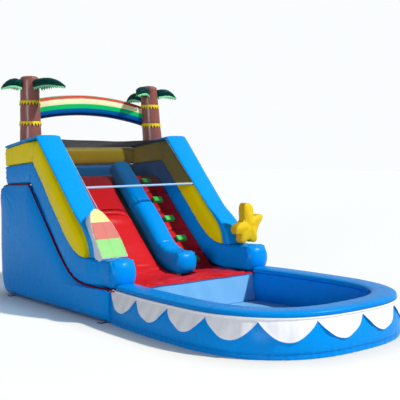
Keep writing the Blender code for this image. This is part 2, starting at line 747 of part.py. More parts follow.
def build_leaf(side, name, bearing, length, drop):
    """Plump leaf, blunt at the trunk and pointed at its tip, level along its lower edge."""
    out = Vector((math.cos(bearing), math.sin(bearing), 0))
    across = Vector((-out.y, out.x, 0))
    up = Vector((0, 0, 1))
    level = (PALM_TOP_Z[0] if side < 0 else PALM_TOP_Z[1]) - drop
    centre = palm_centre(side, level)
    root = palm_radius(level) + 0.008
    rings = []
    for t in (0.0, 0.12, 0.28, 0.45, 0.62, 0.78, 0.90, 1.0):
        half_width = 0.085 * (math.sin(math.pi * min(0.28 + t * 0.75, 1.0)) ** 0.8) + 0.006
        half_height = 0.057 * (1 - t ** 2.6) + 0.006
        rise = half_height - 0.063 + 0.022 * math.sin(math.pi * t) ** 1.2
        middle = centre + out * (root + (length - root) * t) + up * rise
        rings.append([middle + across * u * half_width + up * v * half_height for u, v in squircle(12, 2.2)])
    loft(name, rings, TEAL)


def build_top():
    """Palms, rainbow arch and net."""
    build_palm(-1, "left")
    build_palm(1, "right")
    rings = []
    spans = 16
    for k in range(spans + 1):
        t = k / spans
        x = ARCH_END_X[0] + (ARCH_END_X[1] - ARCH_END_X[0]) * t
        level = ARCH_END_Z[0] + (ARCH_END_Z[1] - ARCH_END_Z[0]) * t + ARCH_RISE * (1 - (2 * t - 1) ** 2)
        rings.append([Vector((x, ARCH_Y + u * ARCH_HALF[0], level + v * ARCH_HALF[1]))
                      for u, v in squircle(20, 2.4)])
    arch = loft("rainbow_arch", rings, RED)
    for side, word in ((-1, "left"), (1, "right")):
        cut(arch, as_cutter(loft(word + "_trunk_guide", trunk_rings(side, BAND_SKIN + 3 * FIT_GAP), BLACK)))
    build_net()


def build_net():
    """Safety net over the platform, ending in a round hem."""
    half = WALL_INNER - 0.004
    hem = Vector((-1.482, 1.484))
    radius = 0.016
    path = [(-0.01, 1.992), (-0.50, 2.050), (-0.86, 2.098), (-1.17, 1.792), (-1.466, 1.502)]
    profile = [Vector((y, z + 0.006)) for y, z in path]
    for k in range(9):
        a = math.radians(75 + 300 * k / 8)
        profile.append(hem + Vector((math.cos(a), math.sin(a))) * radius)
    profile += [Vector(point) for point in path[::-1]]
    loft("net_canopy", [[Vector((x, p.x, p.y)) for p in profile] for x in (-half, half)], NET, 0.6)


def swollen_figure(name, outline, place, thickness, colour):
    """Flat figure swollen on both faces over its outline."""
    centre = sum((Vector(p) for p in outline), Vector((0, 0))) / len(outline)
    steps = (0.45, 0.78, 0.93, 1.0)
    rings = []
    for s, face in [(s, 1) for s in steps] + [(s, -1) for s in reversed(steps)]:
        depth = face * thickness / 2 * (0.55 + 0.45 * (1 - s ** 3) ** 0.5)
        ring = [centre + (Vector(p) - centre) * s for p in outline]
        rings.append([place(p.x, p.y, depth) for p in ring])
    return loft(name, rings, colour)


def build_figures():
    """Surfboard on the left wall's foot and starfish on the right one."""
    board = [(-0.5, -0.06), (-0.5, 0.20), (-0.49, 0.42), (-0.455, 0.62), (-0.39, 0.79), (-0.30, 0.90),
             (-0.18, 0.965), (-0.04, 1.0), (0.09, 0.965), (0.20, 0.89), (0.31, 0.76), (0.41, 0.58),
             (0.475, 0.38), (0.50, 0.18), (0.50, -0.06)]
    board = [(u * BOARD_WIDTH, v * BOARD_LENGTH) for u, v in board]
    foot = Vector((-1.01, -2.315, 0.705))

    def place_board(u, v, h):
        up = Vector((0, math.sin(BOARD_LEAN), math.cos(BOARD_LEAN)))
        front = Vector((0, -math.cos(BOARD_LEAN), math.sin(BOARD_LEAN)))
        return foot + Vector((u, 0, 0)) + up * v + front * h
    surfboard = swollen_figure("surfboard", board, place_board, BOARD_THICKNESS, YELLOW)
    cut(surfboard, as_cutter(loft("left_pillow_guide", lower_wall_rings(-1, FIT_GAP), BLACK)))
    cut(surfboard, as_cutter(loft("left_foot_guide", strip_rings(-1, FIT_GAP), BLACK)))

    star = [Vector((point.x, point.y)) for point in closed_spline(STAR_OUTLINE, 3)]
    centre = Vector((1.03, -2.375, 0.95))

    def place_star(u, v, h):
        return centre + Vector((u, -h, v))
    starfish = swollen_figure("starfish", star, place_star, STAR_THICKNESS, YELLOW)
    cut(starfish, as_cutter(loft("right_pillow_guide", lower_wall_rings(1, FIT_GAP), BLACK)))
    cut(starfish, as_cutter(loft("right_foot_guide", strip_rings(1, FIT_GAP), BLACK)))


def build_anchor(side, word, n, y):
    """Webbing tab at floor level, curled round the bar of a steel D-ring."""
    loop_out, loop_in = 0.0085, 0.0047
    bar = Vector((side * RING_BAR_X, y, RING_BAR_Z))
    plate_low = RING_BAR_Z - loop_out
    profile = [(side * 1.17, plate_low), (side * RING_BAR_X, plate_low)]
    turns = 10
    for k in range(1, turns + 1):
        a = -math.pi / 2 + math.radians(235) * k / turns
        profile.append((bar.x + side * math.cos(a) * loop_out, bar.z + math.sin(a) * loop_out))
    for k in range(turns, -1, -1):
        a = -math.pi / 2 + math.radians(235) * k / turns
        profile.append((bar.x + side * math.cos(a) * loop_in, bar.z + math.sin(a) * loop_in))
    profile += [(side * 1.17, plate_low + loop_out - loop_in)]
    rings = [[Vector((x, y + dy, z)) for x, z in profile] for dy in (-0.021, 0.021)]
    tab = loft("%s_anchor_tab_%d" % (word, n), rings, WEBBING, 0.8)
    cut(tab, as_cutter(side_panel("%s_panel_guide_%d" % (word, n), side, FIT_GAP)))

    spine = [Vector((0, -RING_HALF, 0)), Vector((0, -RING_HALF / 3, 0)), Vector((0, RING_HALF / 3, 0)),
             Vector((0, RING_HALF, 0))]
    for k in range(1, 9):
        a = math.pi / 2 - math.pi * k / 9
        spine.append(Vector((side * (0.004 + math.cos(a) * RING_HALF), math.sin(a) * RING_HALF, 0)))
    rings = []
    for k, point in enumerate(spine):
        along = (spine[(k + 1) % len(spine)] - spine[k - 1]).normalized()
        out = along.cross(Vector((0, 0, 1)))
        rings.append([bar + point + (out * math.cos(math.tau * j / 8) + Vector((0, 0, 1))
                                     * math.sin(math.tau * j / 8)) * RING_WIRE for j in range(8)])
    loft("%s_d_ring_%d" % (word, n), rings, STEEL, 0.25, 1.0, closed=True)


def build_sleeve():
    """Fabric sleeve for an air blower, low on the rear panel, with the strap that ties it."""
    centre = Vector((SLEEVE_X, 0, SLEEVE_RADIUS + 0.001))
    count = 20

    def hoop(name, outer, wall, y0, y1, colour):
        rings = []
        for k in range(count):
            a = math.tau * (k + 0.5) / count
            out = Vector((math.cos(a), 0, math.sin(a)))
            rings.append([centre + out * r + Vector((0, y, 0))
                          for r, y in ((outer, y0), (outer, y1), (outer - wall, y1), (outer - wall, y0))])
        return loft(name, rings, colour, 0.6, closed=True)
    face_y = BASE_REAR_Y + REAR_SWELL
    sleeve = hoop("blower_sleeve", SLEEVE_RADIUS, SLEEVE_WALL, BASE_REAR_Y - 0.02, face_y + SLEEVE_LENGTH, BLUE)
    cut(sleeve, as_cutter(rear_panel("rear_guide", FIT_GAP)))
    strap_y = face_y + SLEEVE_LENGTH * 0.7
    centre.z += 0.0005
    strap = hoop("sleeve_strap", SLEEVE_RADIUS + 0.0045, 0.0035, strap_y, strap_y + 0.03, WEBBING)
    floor = block("strap_floor_guide", (SLEEVE_X - 0.2, strap_y - 0.1, -0.1), (SLEEVE_X + 0.2, strap_y + 0.1, 0.0),
                  BLACK)
    cut(strap, as_cutter(floor))


def build_zip():
    """Deflation zip on the rear panel: tape, slider and the hanging flap that covers them."""
    face = BASE_REAR_Y + REAR_SWELL + 0.0008
    tape = face + 0.003
    block("zip_tape", (ZIP_X - ZIP_LENGTH / 2, face, ZIP_Z - 0.02), (ZIP_X + ZIP_LENGTH / 2, tape, ZIP_Z + 0.02),
          BLACK, roughness=0.7)
    slider_x = ZIP_X - ZIP_LENGTH / 2 + 0.03
    block("zip_slider", (slider_x - 0.014, tape + GAP, ZIP_Z - 0.009),
          (slider_x + 0.014, tape + 0.0056, ZIP_Z + 0.009), STEEL, 0.0015)
    hinge = Vector((face + 0.0015, ZIP_Z + FLAP_RISE))
    hang = Vector((0.020, -0.115))
    skin = Vector((0.003, 0.0005))
    profile = [hinge, hinge + hang, hinge + hang + skin, hinge + skin]
    ends = (ZIP_X - ZIP_LENGTH / 2 - 0.03, ZIP_X + ZIP_LENGTH / 2 + 0.03)
    loft("zip_cover_flap", [[Vector((x, p.x, p.y)) for p in profile] for x in ends], BLUE, 0.45)


def centre_frame():
    """Move the carrying empty so that the origin is the bottom centre of the whole object."""
    bpy.context.view_layer.update()
    graph = bpy.context.evaluated_depsgraph_get()
    low = Vector((math.inf, math.inf, math.inf))
    high = -low
    for thing in bpy.data.objects:
        if thing.type != "MESH" or thing.hide_render:
            continue
        mesh = thing.evaluated_get(graph).to_mesh()
        for vertex in mesh.vertices:
            at = thing.matrix_world @ vertex.co
            low = Vector(map(min, low, at))
            high = Vector(map(max, high, at))
    carrier = bpy.data.objects["slide_frame"]
    carrier.location = (-(low.x + high.x) / 2, -(low.y + high.y) / 2, -low.z)
    print("slide_frame moved to", [round(v, 5) for v in carrier.location])
    print("size", [round(v, 4) for v in high - low])


def main():
    clear_scene()
    carrier = bpy.data.objects.new("slide_frame", None)
    bpy.context.collection.objects.link(carrier)
    build_base()
    build_walls()
    build_rear_wall()
    build_lanes()
    build_pool()
    build_top()
    build_figures()
    for side, word in ((-1, "left"), (1, "right")):
        for n, y in enumerate(ANCHOR_YS):
            build_anchor(side, word, n + 1, y)
    build_sleeve()
    build_zip()
    centre_frame()


main()
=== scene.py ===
"""Looks of an inflatable water slide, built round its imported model.

Shapes are written in the tower's own frame, as the part's source writes them: y is 0 near the rear of the
walls, the pool lies towards -Y and +X is on the right. OFFSET moves them into the row frame.
"""
import math

import bmesh
import bpy
import numpy as np
from mathutils import Matrix, Vector


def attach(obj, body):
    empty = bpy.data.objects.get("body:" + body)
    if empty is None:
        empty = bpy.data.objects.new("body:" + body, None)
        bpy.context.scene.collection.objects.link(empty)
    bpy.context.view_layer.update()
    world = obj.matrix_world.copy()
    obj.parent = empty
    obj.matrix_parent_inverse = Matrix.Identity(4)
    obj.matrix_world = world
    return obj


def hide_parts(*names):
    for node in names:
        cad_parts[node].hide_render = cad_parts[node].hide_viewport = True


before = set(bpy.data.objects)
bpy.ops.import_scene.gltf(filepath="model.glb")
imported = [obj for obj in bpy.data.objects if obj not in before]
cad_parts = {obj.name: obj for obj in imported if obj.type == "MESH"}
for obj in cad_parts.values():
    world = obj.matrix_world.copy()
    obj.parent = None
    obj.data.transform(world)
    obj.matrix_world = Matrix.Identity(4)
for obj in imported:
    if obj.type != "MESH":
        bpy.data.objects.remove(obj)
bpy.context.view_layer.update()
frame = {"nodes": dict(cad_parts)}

OFFSET = np.array((-0.02414, 2.36503, 0.0))
TAU = math.tau

# Sizes shared with the part's source
GAP = 0.0006
WALL_OUTER, WALL_INNER, BASE_INNER = 1.20, 0.85, 1.15
STRIP_PINCH = 0.03
BASE_FRONT_Y, BASE_REAR_Y, WALL_REAR_Y, BASE_TOP_Z = -2.55, 0.08, 0.03, 1.485
SIDE_SWELL, REAR_SWELL = 0.07, 0.08
REAR_WALL_DEPTH, REAR_WALL_FRONT, REAR_WALL_HALF = 0.13, -0.07, 0.80
REAR_WALL_SPLIT_Z, REAR_WALL_TOP_Z = 1.75, 1.99
PANEL_THICKNESS = 0.05
CREST_Y, CREST_Z, SLOPE = -0.866, 2.126, math.radians(43.5)
CHUTE_DEPTH, CHUTE_CROWN, CHUTE_BENDS = 0.50, 0.07, (0.07, 0.30)
CLIMB_DEPTH, CLIMB_BENDS = 0.57, (0.001, 0.028)
DIVIDER_TOP_DEPTHS, DIVIDER_LOW_DEPTH = (0.306, 0.335), 0.60
DECK_Z, DECK_THICKNESS, DECK_FRONT_Y = 1.58, 0.12, -0.60
DIVIDER_LEFT, DIVIDER_RIGHT = 0.0, 0.31
DIVIDER_TOP_Z, DIVIDER_CREASE_Y = 1.80, -1.28
LANDING_Z, LANDING_REAR_Y = 0.39, -2.30
LIP_FRONT_Y, LIP_Z, LIP_HALF = -2.635, 0.3701, 0.0063
APRON_HALF, APRON_DROP = 0.905, 0.335
HOLD_TOP_Y, HOLD_COUNT, HOLD_PITCH, HOLD_SIZE = -0.705, 5, 0.368, (0.155, 0.085, 0.045)
POOL_HALF, POOL_CENTRE_Y, POOL_FRONT, POOL_REAR, POOL_POWER = 1.25, -3.75, 1.42, 2.60, 2.6
POOL_WALL_HEIGHT, POOL_WALL_DEPTH, POOL_SWELL, POOL_LEAN = 0.362, 0.24, 0.03, 0.03
RIM_HALF, RIM_Z, FLOOR_THICKNESS = (0.135, 0.039), 0.403, 0.03
TOOTH_COUNT, TOOTH_DEPTH = 12, 0.185
PALM_X, PALM_Y, PALM_BASE_Z = 1.0, -0.30, 2.00
PALM_TOP_Z, PALM_RADII = (2.955, 2.906), (0.146, 0.122)
BAND_HEIGHTS, BAND_DEPTH, RIGHT_PALM_LEAN = (2.287, 2.562), 0.06, 0.073
PALM_LEAVES = {  # bearing, length, drop below the trunk's top
    "left": ((171, 0.39, 0.115), (51, 0.46, 0.13), (291, 0.62, 0.115)),
    "right": ((350, 0.46, 0.115), (110, 0.43, 0.165), (211, 0.42, 0.10)),
}
ARCH_END_X, ARCH_END_Z, ARCH_RISE = (-0.95, 0.90), (2.497, 2.462), 0.1135
ARCH_Y, ARCH_HALF = -0.185, (0.09, 0.142)
BOARD_LENGTH, BOARD_WIDTH, BOARD_THICKNESS, BOARD_LEAN = 0.64, 0.34, 0.13, math.radians(36)
STAR_THICKNESS = 0.16
BOARD_FOOT, STAR_CENTRE = (-1.01, -2.315, 0.705), (1.03, -2.375, 0.95)
BOARD_OUTLINE = (
    (-0.5, -0.06), (-0.5, 0.20), (-0.49, 0.42), (-0.455, 0.62), (-0.39, 0.79), (-0.30, 0.90), (-0.18, 0.965),
    (-0.04, 1.0), (0.09, 0.965), (0.20, 0.89), (0.31, 0.76), (0.41, 0.58), (0.475, 0.38), (0.50, 0.18),
    (0.50, -0.06),
)
STAR_OUTLINE = (
    (0.082, 0.130), (0.068, 0.235), (0.020, 0.290), (-0.060, 0.290), (-0.094, 0.235), (-0.096, 0.078),
    (-0.165, 0.042), (-0.225, -0.018), (-0.225, -0.092), (-0.150, -0.118), (-0.138, -0.195), (-0.090, -0.226),
    (-0.010, -0.190), (0.076, -0.226), (0.128, -0.200), (0.134, -0.110), (0.168, -0.020), (0.235, 0.075),
    (0.240, 0.125), (0.160, 0.138),
)
NET_LINE = ((-0.01, 1.992), (-0.50, 2.050), (-0.86, 2.098), (-1.17, 1.792), (-1.466, 1.502))
NET_HEM_Y, NET_HEM_Z = -1.482, 1.484
SLEEVE_X, SLEEVE_RADIUS, SLEEVE_LENGTH = -0.62, 0.125, 0.30
ZIP_X, ZIP_Z, ZIP_LENGTH, FLAP_RISE = 0.55, 0.80, 0.36, 0.06
FLAP_MARGIN, FLAP_HANG = 0.03, (0.020, -0.115)
WALL_STRAIGHT = (
    (0.030, 1.490, 0.030, 1.750, 0.030, 1.985, 0.030, 2.030),
    (-0.650, 1.520, -0.745, 1.805, -0.850, 2.105, -0.875, 2.155),
    (-1.050, 1.090, -1.205, 1.350, -1.385, 1.580, -1.410, 1.612),
)
WALL_FOOT = (
    (-1.420, 0.700, -1.610, 0.940, -1.820, 1.150, -1.848, 1.182),
    (-1.570, 0.565, -1.755, 0.820, -1.990, 0.985, -2.050, 1.030),
    (-1.700, 0.475, -1.880, 0.745, -2.065, 0.855, -2.175, 0.900),
    (-1.860, 0.405, -1.990, 0.712, -2.090, 0.765, -2.220, 0.790),
    (-2.050, 0.378, -2.090, 0.705, -2.103, 0.709, -2.240, 0.709),
)
PILLOW = ((-2.250, 0.372, -2.270, 0.705), (-2.585, 0.379, -2.585, 0.722))

SIDES = ((-1, "left"), (1, "right"))
WALL_PINCHES = {  # of the lower and the yellow tube's outer side, and of the strip's inner and outer one
    "left": (-0.034, -0.050, (STRIP_PINCH, 0.0)),
    "right": (0.016, STRIP_PINCH * 2.0 - 0.050, (-0.018, STRIP_PINCH * 2.5)),
}

# How the skins are made
PILLOW_CAP = 3  # rows of a pillow's end that belong to its rounded front
TIGHT = 0.92  # fill of an inflated piece
ROW_STEP = 0.012  # between the rings of a tube
NO_SEAM = 9.0  # seam distance of a point with no seam near it
CHUTE_COLUMNS, CLIMB_COLUMNS = 81, 55  # across the top of each lane
WALL_COLUMNS, STRIP_COLUMNS, RIM_COLUMNS = 136, 96, 44  # round each tube
BOLSTER_RINGS, TRUNK_RINGS, ARCH_RINGS = 80, 70, 150  # along each tube
BANDS_AND_TAILS = (0.036, 0.040)  # solid part of a trunk band and its pointed tails
TRUNK_FOOT_Z, TRUNK_CAP = 2.03, 0.045  # foot of a trunk's skin and the height of its rounded top
POOL_RINGS, RIM_RINGS = 420, 380  # round the pool's wall and its rim
TOOTH_COLUMNS, VALANCE_ROWS = 40, 16  # of each scallop
HIDDEN_SKY, MIRRORED_SKY = 0.11, 0.5  # strength of the sky for rays that light things, and for reflections
UP = np.array((0, 0, 1))

# Camera, fitted to the photograph
YAW, PITCH, ROLL = (math.radians(v) for v in (38.746, -3.322, -0.630))
FOCAL = 790.18 / 400  # in widths of the picture
CAMERA_PLACE = (-5.877, -10.013, 1.886)
SENSOR = 36.0


def ramp(value, start, width):
    """0 to 1 from start to start + width. A width below 0 runs towards lower values."""
    return np.clip((value - start) / width, 0, 1)


def linear(text):
    """Linear colour from a hex sRGB one."""
    values = [int(text[i:i + 2], 16) / 255 for i in (0, 2, 4)]
    return tuple(v / 12.92 if v <= 0.04045 else ((v + 0.055) / 1.055) ** 2.4 for v in values) + (1.0,)


# Materials


class Nodes:
    """Short calls for the node tree of a material or a world."""

    def __init__(self, owner):
        owner.use_nodes = True
        self.mat, self.tree = owner, owner.node_tree
        self.shader = self.tree.nodes.get("Principled BSDF")

    def set(self, **values):
        """Plain values of the shader's sockets, with _ for each space in a name."""
        for key, value in values.items():
            self.shader.inputs[key.replace("_", " ")].default_value = value

    def add(self, kind, **values):
        node = self.tree.nodes.new(kind)
        for key, value in values.items():
            setattr(node, key, value)
        return node

    def join(self, a, b):
        self.tree.links.new(a, b)

    def put(self, socket, value):
        if isinstance(value, bpy.types.NodeSocket):
            self.join(value, socket)
        else:
            socket.default_value = value

    def math(self, operation, a, b=0.0, c=0.0):
        node = self.add("ShaderNodeMath", operation=operation)
        for socket, value in zip(node.inputs, (a, b, c)):
            self.put(socket, value)
        return node.outputs[0]

    def mix(self, factor, a, b, blend="MIX"):
        node = self.add("ShaderNodeMix", data_type="RGBA", blend_type=blend)
        self.put(node.inputs[0], factor)
        self.put(node.inputs[6], a)
        self.put(node.inputs[7], b)
        return node.outputs[2]

    def shade(self, base, factor, colour):
        """Base, multiplied by a colour as far as factor says."""
        return self.mix(factor, base, self.mix(1.0, base, colour, "MULTIPLY"))

    def noise(self, scale, detail=2.0):
        node = self.add("ShaderNodeTexNoise")
        node.inputs["Scale"].default_value = scale
        node.inputs["Detail"].default_value = detail
        self.join(self.place(), node.inputs["Vector"])
        return node.outputs["Fac"]

    def place(self):
        if not hasattr(self, "coords"):
            self.coords = self.add("ShaderNodeTexCoord")
        return self.coords.outputs["Object"]

    def attribute(self, name):
        return self.add("ShaderNodeAttribute", attribute_name=name).outputs["Fac"]

    def band(self, value, low, high):
        """1 between low and high, else 0."""
        above, below = self.math("GREATER_THAN", value, low), self.math("LESS_THAN", value, high)
        return self.math("MULTIPLY", above, below)

    def fade(self, value, start, end):
        """Smooth 0 to 1 as a value goes from start to end."""
        node = self.add("ShaderNodeMapRange", interpolation_type="SMOOTHSTEP")
        self.put(node.inputs["Value"], value)
        node.inputs["From Min"].default_value = start
        node.inputs["From Max"].default_value = end
        return node.outputs["Result"]

    def bump(self, height, distance, strength=1.0, normal=None):
        node = self.add("ShaderNodeBump")
        node.inputs["Strength"].default_value = strength
        node.inputs["Distance"].default_value = distance
        self.join(height, node.inputs["Height"])
        if normal is not None:
            self.join(normal, node.inputs["Normal"])
        return node.outputs["Normal"]


def new_look(name):
    """Nodes of a new material."""
    look = bpy.data.materials.new(name)
    return Nodes(look)


def stripes(n, bands):
    """Colours in bands of the stripe attribute: (upper limit, colour) in rising order."""
    value = n.attribute("stripe")
    colour = linear(bands[0][1])
    for (limit, _), (_, above) in zip(bands, bands[1:]):
        colour = n.mix(n.fade(value, limit - 0.004, limit + 0.004), colour, linear(above))
    return colour


def vinyl(name, colour, rough=0.28, gloss=0.11):
    """Coated fabric: faint mottling, slack ripples, a fine cloth backing, painted shade along the seams and
    dark stitches.
    """
    n = new_look(name)
    base = linear(colour) if isinstance(colour, str) else stripes(n, colour)
    broad = n.noise(1.7, 3.0)
    fine = n.noise(23.0, 3.0)
    tint = n.shade(base, n.math("MULTIPLY", broad, 0.9), (0.80, 0.84, 0.90, 1))
    tint = n.mix(n.math("MULTIPLY", n.fade(fine, 0.52, 0.75), 0.10), tint, (1, 1, 1, 1), "SOFT_LIGHT")
    distance = n.attribute("seam_dist")
    run = n.attribute("seam_run")
    # Painted shade: the colour darkens towards each seam, as if shade lay in its crease.
    near = n.fade(distance, 0.030, 0.004)
    tint = n.shade(tint, n.math("MULTIPLY", near, 0.24), (0.45, 0.48, 0.55, 1))
    dash = n.math("GREATER_THAN", n.math("FRACT", n.math("MULTIPLY", run, 160.0)), 0.35)
    stitch = n.math("MULTIPLY", n.band(distance, 0.0065, 0.0090), dash)
    tint = n.shade(tint, n.math("MULTIPLY", stitch, 0.35), (0.6, 0.6, 0.62, 1))
    n.join(tint, n.shader.inputs["Base Color"])
    roughness = n.math("ADD", rough - 0.05, n.math("MULTIPLY", n.noise(9.0), 0.11))
    n.join(roughness, n.shader.inputs["Roughness"])
    n.set(Specular_IOR_Level=gloss)
    normal = n.bump(n.noise(3.2), 0.014, 0.30)
    normal = n.bump(n.noise(19.0), 0.0010, 0.25, normal)
    normal = n.bump(n.noise(900.0, 1.0), 0.0002, 0.25, normal)
    n.join(n.bump(stitch, 0.0010, 0.6, normal), n.shader.inputs["Normal"])
    return n.mat


def webbing_look(name, colour):
    """Woven strap with ribs across it."""
    n = new_look(name)
    wave = n.add("ShaderNodeTexWave", wave_type="BANDS", bands_direction="DIAGONAL")
    wave.inputs["Scale"].default_value = 180.0
    wave.inputs["Distortion"].default_value = 1.5
    n.join(n.place(), wave.inputs["Vector"])
    ridge = tuple(2.2 * c for c in colour[:3]) + (1.0,)
    n.join(n.mix(wave.outputs["Fac"], colour, ridge), n.shader.inputs["Base Color"])
    n.set(Roughness=0.85)
    n.join(n.bump(wave.outputs["Fac"], 0.0008, 0.7), n.shader.inputs["Normal"])
    return n.mat


def steel_look(name):
    """Plated steel with fine rubbing marks."""
    n = new_look(name)
    fine = n.noise(140.0, 3.0)
    n.join(n.mix(fine, (0.52, 0.53, 0.55, 1), (0.72, 0.72, 0.74, 1)), n.shader.inputs["Base Color"])
    n.set(Metallic=1.0)
    n.join(n.math("ADD", 0.22, n.math("MULTIPLY", fine, 0.2)), n.shader.inputs["Roughness"])
    n.join(n.bump(fine, 0.0003, 0.3), n.shader.inputs["Normal"])
    return n.mat


def net_look(name):
    """Fine knitted mesh of dark yarn, denser over the platform, and denser towards the right as painted shade
    of the right wall's shaded inside.
    """
    n = new_look(name)
    u, v = n.attribute("net_u"), n.attribute("net_v")
    yarn = None
    for value in (u, v):
        wave = n.math("ABSOLUTE", n.math("SINE", n.math("MULTIPLY", value, math.pi / 0.006)))
        line = n.fade(wave, 0.62, 0.38)
        yarn = line if yarn is None else n.math("MAXIMUM", yarn, line)
    mottled = n.noise(5.0)
    cover = 0.48
    # Painted shade: towards the right the mesh is denser, so that the shaded inside of the right wall seen
    # through it looks darker.
    over_platform, shade_to_right = n.fade(v, 0.89, 0.85), n.fade(u, 0.05, 0.45)
    for part, share in ((yarn, 0.16), (mottled, 0.06), (over_platform, 0.26), (shade_to_right, 0.16)):
        cover = n.math("ADD", cover, n.math("MULTIPLY", part, share))
    cover = n.math("MINIMUM", cover, 0.96)
    n.join(n.mix(mottled, (0.006, 0.0065, 0.010, 1), (0.011, 0.012, 0.017, 1)), n.shader.inputs["Base Color"])
    n.set(Roughness=0.8, Specular_IOR_Level=0.1)
    n.join(n.bump(yarn, 0.0004, 0.5), n.shader.inputs["Normal"])
    path = n.add("ShaderNodeLightPath")
    lit = n.math("MULTIPLY", path.outputs["Is Shadow Ray"], 0.55)
    n.join(n.math("MULTIPLY", cover, n.math("SUBTRACT", 1.0, lit)), n.shader.inputs["Alpha"])
    return n.mat


BLUE = vinyl("blue_pvc", "0096f0", gloss=0.08)
# Painted light: the strips' blue is the walls' blue made a touch lighter, for the sun on their fronts.
LIT_STRIP_BLUE = vinyl("lit_strip_blue_pvc", "009ef2")
LINER = vinyl("liner_pvc", "7fc0ee", 0.4)
YELLOW = vinyl("yellow_pvc", "ffe400")
RED = vinyl("red_pvc", "da2228", 0.30, gloss=0.09)
SEAM_RED = vinyl("seam_red_pvc", "6a0c22", 0.5, gloss=0.04)
GREEN = vinyl("green_pvc", "58e068")
WHITE = vinyl("white_pvc", "f6f7fb", 0.45)
BROWN = vinyl("brown_pvc", "90544a", 0.30, gloss=0.45)
TEAL = vinyl("teal_pvc", "013c39", gloss=0.06)
FRINGE = vinyl("fringe_pvc", "86dca0", 0.5)
BAND = vinyl("band_pvc", "f2d22a", 0.5)
PIPING = vinyl("piping_pvc", "a8d4f4", 0.4)
STAR = vinyl("star_pvc", "f6cc20", 0.36)
INNER = vinyl("inner_cloth", "d4d6da", 0.7)
RAINBOW = vinyl("rainbow_pvc", (
    (0.13, "003284"), (0.34, "0068b6"), (0.56, "06c86c"), (0.81, "f7f2c0"), (0.965, "cc4c38"),
    (2.0, "6fcf8f"),
), 0.36)
BOARD = vinyl("board_pvc", (
    (0.335, "96dc82"), (0.695, "d87a70"), (1.5, "e8ec9a"), (3.0, "f0f2fc"),
), 0.42)
NET = net_look("net_mesh")
WEBBING = webbing_look("navy_webbing", (0.012, 0.018, 0.06, 1))
ZIP_CLOTH = webbing_look("zip_cloth", (0.012, 0.012, 0.014, 1))
STEEL = steel_look("plated_steel")


# Mesh tools

def add_object(name, data):
    thing = bpy.data.objects.new(name, data)
    bpy.context.scene.collection.objects.link(thing)
    return thing


def put_mesh(name, verts, faces, material, nodes=(), body="slide", attributes=None, sharp=38.0):
    """Make a shown piece in the row frame and tie it to its body."""
    mesh = bpy.data.meshes.new(name)
    verts = np.asarray(verts, float) + OFFSET
    mesh.from_pydata(verts.tolist(), [], faces)
    for key, values in (attributes or {}).items():
        layer = mesh.attributes.new(key, "FLOAT", "POINT")
        layer.data.foreach_set("value", np.asarray(values, np.float32).ravel())
    shell = bmesh.new()
    shell.from_mesh(mesh)
    bmesh.ops.recalc_face_normals(shell, faces=shell.faces)
    shell.to_mesh(mesh)
    shell.free()
    mesh.shade_smooth()
    mesh.set_sharp_from_angle(angle=math.radians(sharp))
    mesh.materials.append(material)
    piece = add_object(name, mesh)
    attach(piece, body)
    if nodes:
        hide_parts(*nodes)
    return piece


def grid_normals(points, closed_around, closed_along):
    """Unit normals of a grid of points, pointing away from each ring's centre."""
    along, around = (
        np.roll(points, -1, axis) - np.roll(points, 1, axis) if closed else np.gradient(points, axis=axis)
        for axis, closed in enumerate((closed_along, closed_around)))
    normal = np.cross(around, along)
    normal = normal / np.maximum(np.linalg.norm(normal, axis=2, keepdims=True), 1e-12)
    outward = points - points.mean(axis=1, keepdims=True)
    if (normal * outward).sum() < 0:
        normal = -normal
    return normal


def pucker(run, distance, seed):
    """Short creases that leave a seam and fade, as numbers from about -1 to 1."""
    random = np.random.default_rng(seed)
    total = np.zeros_like(run)
    for wavelength in (0.036, 0.047, 0.061, 0.083, 0.12):
        phase = random.uniform(0, TAU)
        drift = 0.9 * np.sin(run * TAU / random.uniform(0.5, 0.9) + random.uniform(0, TAU))
        reach = 0.012 + 0.55 * wavelength
        total += np.sin(run * TAU / wavelength + phase + drift) * np.exp(-distance / reach)
    envelope = 0.45 + 0.55 * np.sin(run * math.pi / 0.43 + random.uniform(0, TAU)) ** 2
    return total * envelope / 2.2 * ramp(distance, 0.115, -0.06)


def seam_fields(points, around, along, span=None):
    """Distance to the nearest seam and the run along it, for seams on columns and rows."""
    rows, columns = points.shape[:2]
    step_around = np.linalg.norm(np.roll(points, -1, 1) - points, axis=2)
    place_around = np.concatenate([np.zeros((rows, 1)), np.cumsum(step_around, 1)[:, :-1]], 1)
    girth = step_around.sum(1, keepdims=True)
    step_along = np.linalg.norm(np.diff(points, axis=0), axis=2)
    place_along = np.concatenate([np.zeros((1, columns)), np.cumsum(step_along, 0)], 0)
    nearest = np.full((rows, columns), NO_SEAM)
    run = np.zeros((rows, columns))
    for column in around:
        gap = np.abs(place_around - place_around[:, column:column + 1])
        gap = np.minimum(gap, girth - gap)
        if span is not None:
            gap[:span[0]] = gap[span[1] + 1:] = NO_SEAM
        closer = gap < nearest
        nearest = np.where(closer, gap, nearest)
        run = np.where(closer, place_along + column * 0.37, run)
    for row in along:
        gap = np.abs(place_along - place_along[row:row + 1])
        closer = gap < nearest
        nearest = np.where(closer, gap, nearest)
        run = np.where(closer, place_around + row * 0.11, run)
    return nearest, run, place_around, place_along


def grid_faces(rows, columns, closed_around, closed_along):
    last_row = rows if closed_along else rows - 1
    last_column = columns if closed_around else columns - 1
    faces = []
    for i in range(last_row):
        a, b = i * columns, (i + 1) % rows * columns
        for k in range(last_column):
            n = (k + 1) % columns
            faces.append((a + k, a + n, b + n, b + k))
    return faces


class Spots:
    """Points of a skin: their x, y and z, and how far each lies round its ring and along the piece."""

    def __init__(self, points, around, along):
        self.points, self.around, self.along = points, around, along
        self.x, self.y, self.z = np.moveaxis(points, 2, 0)


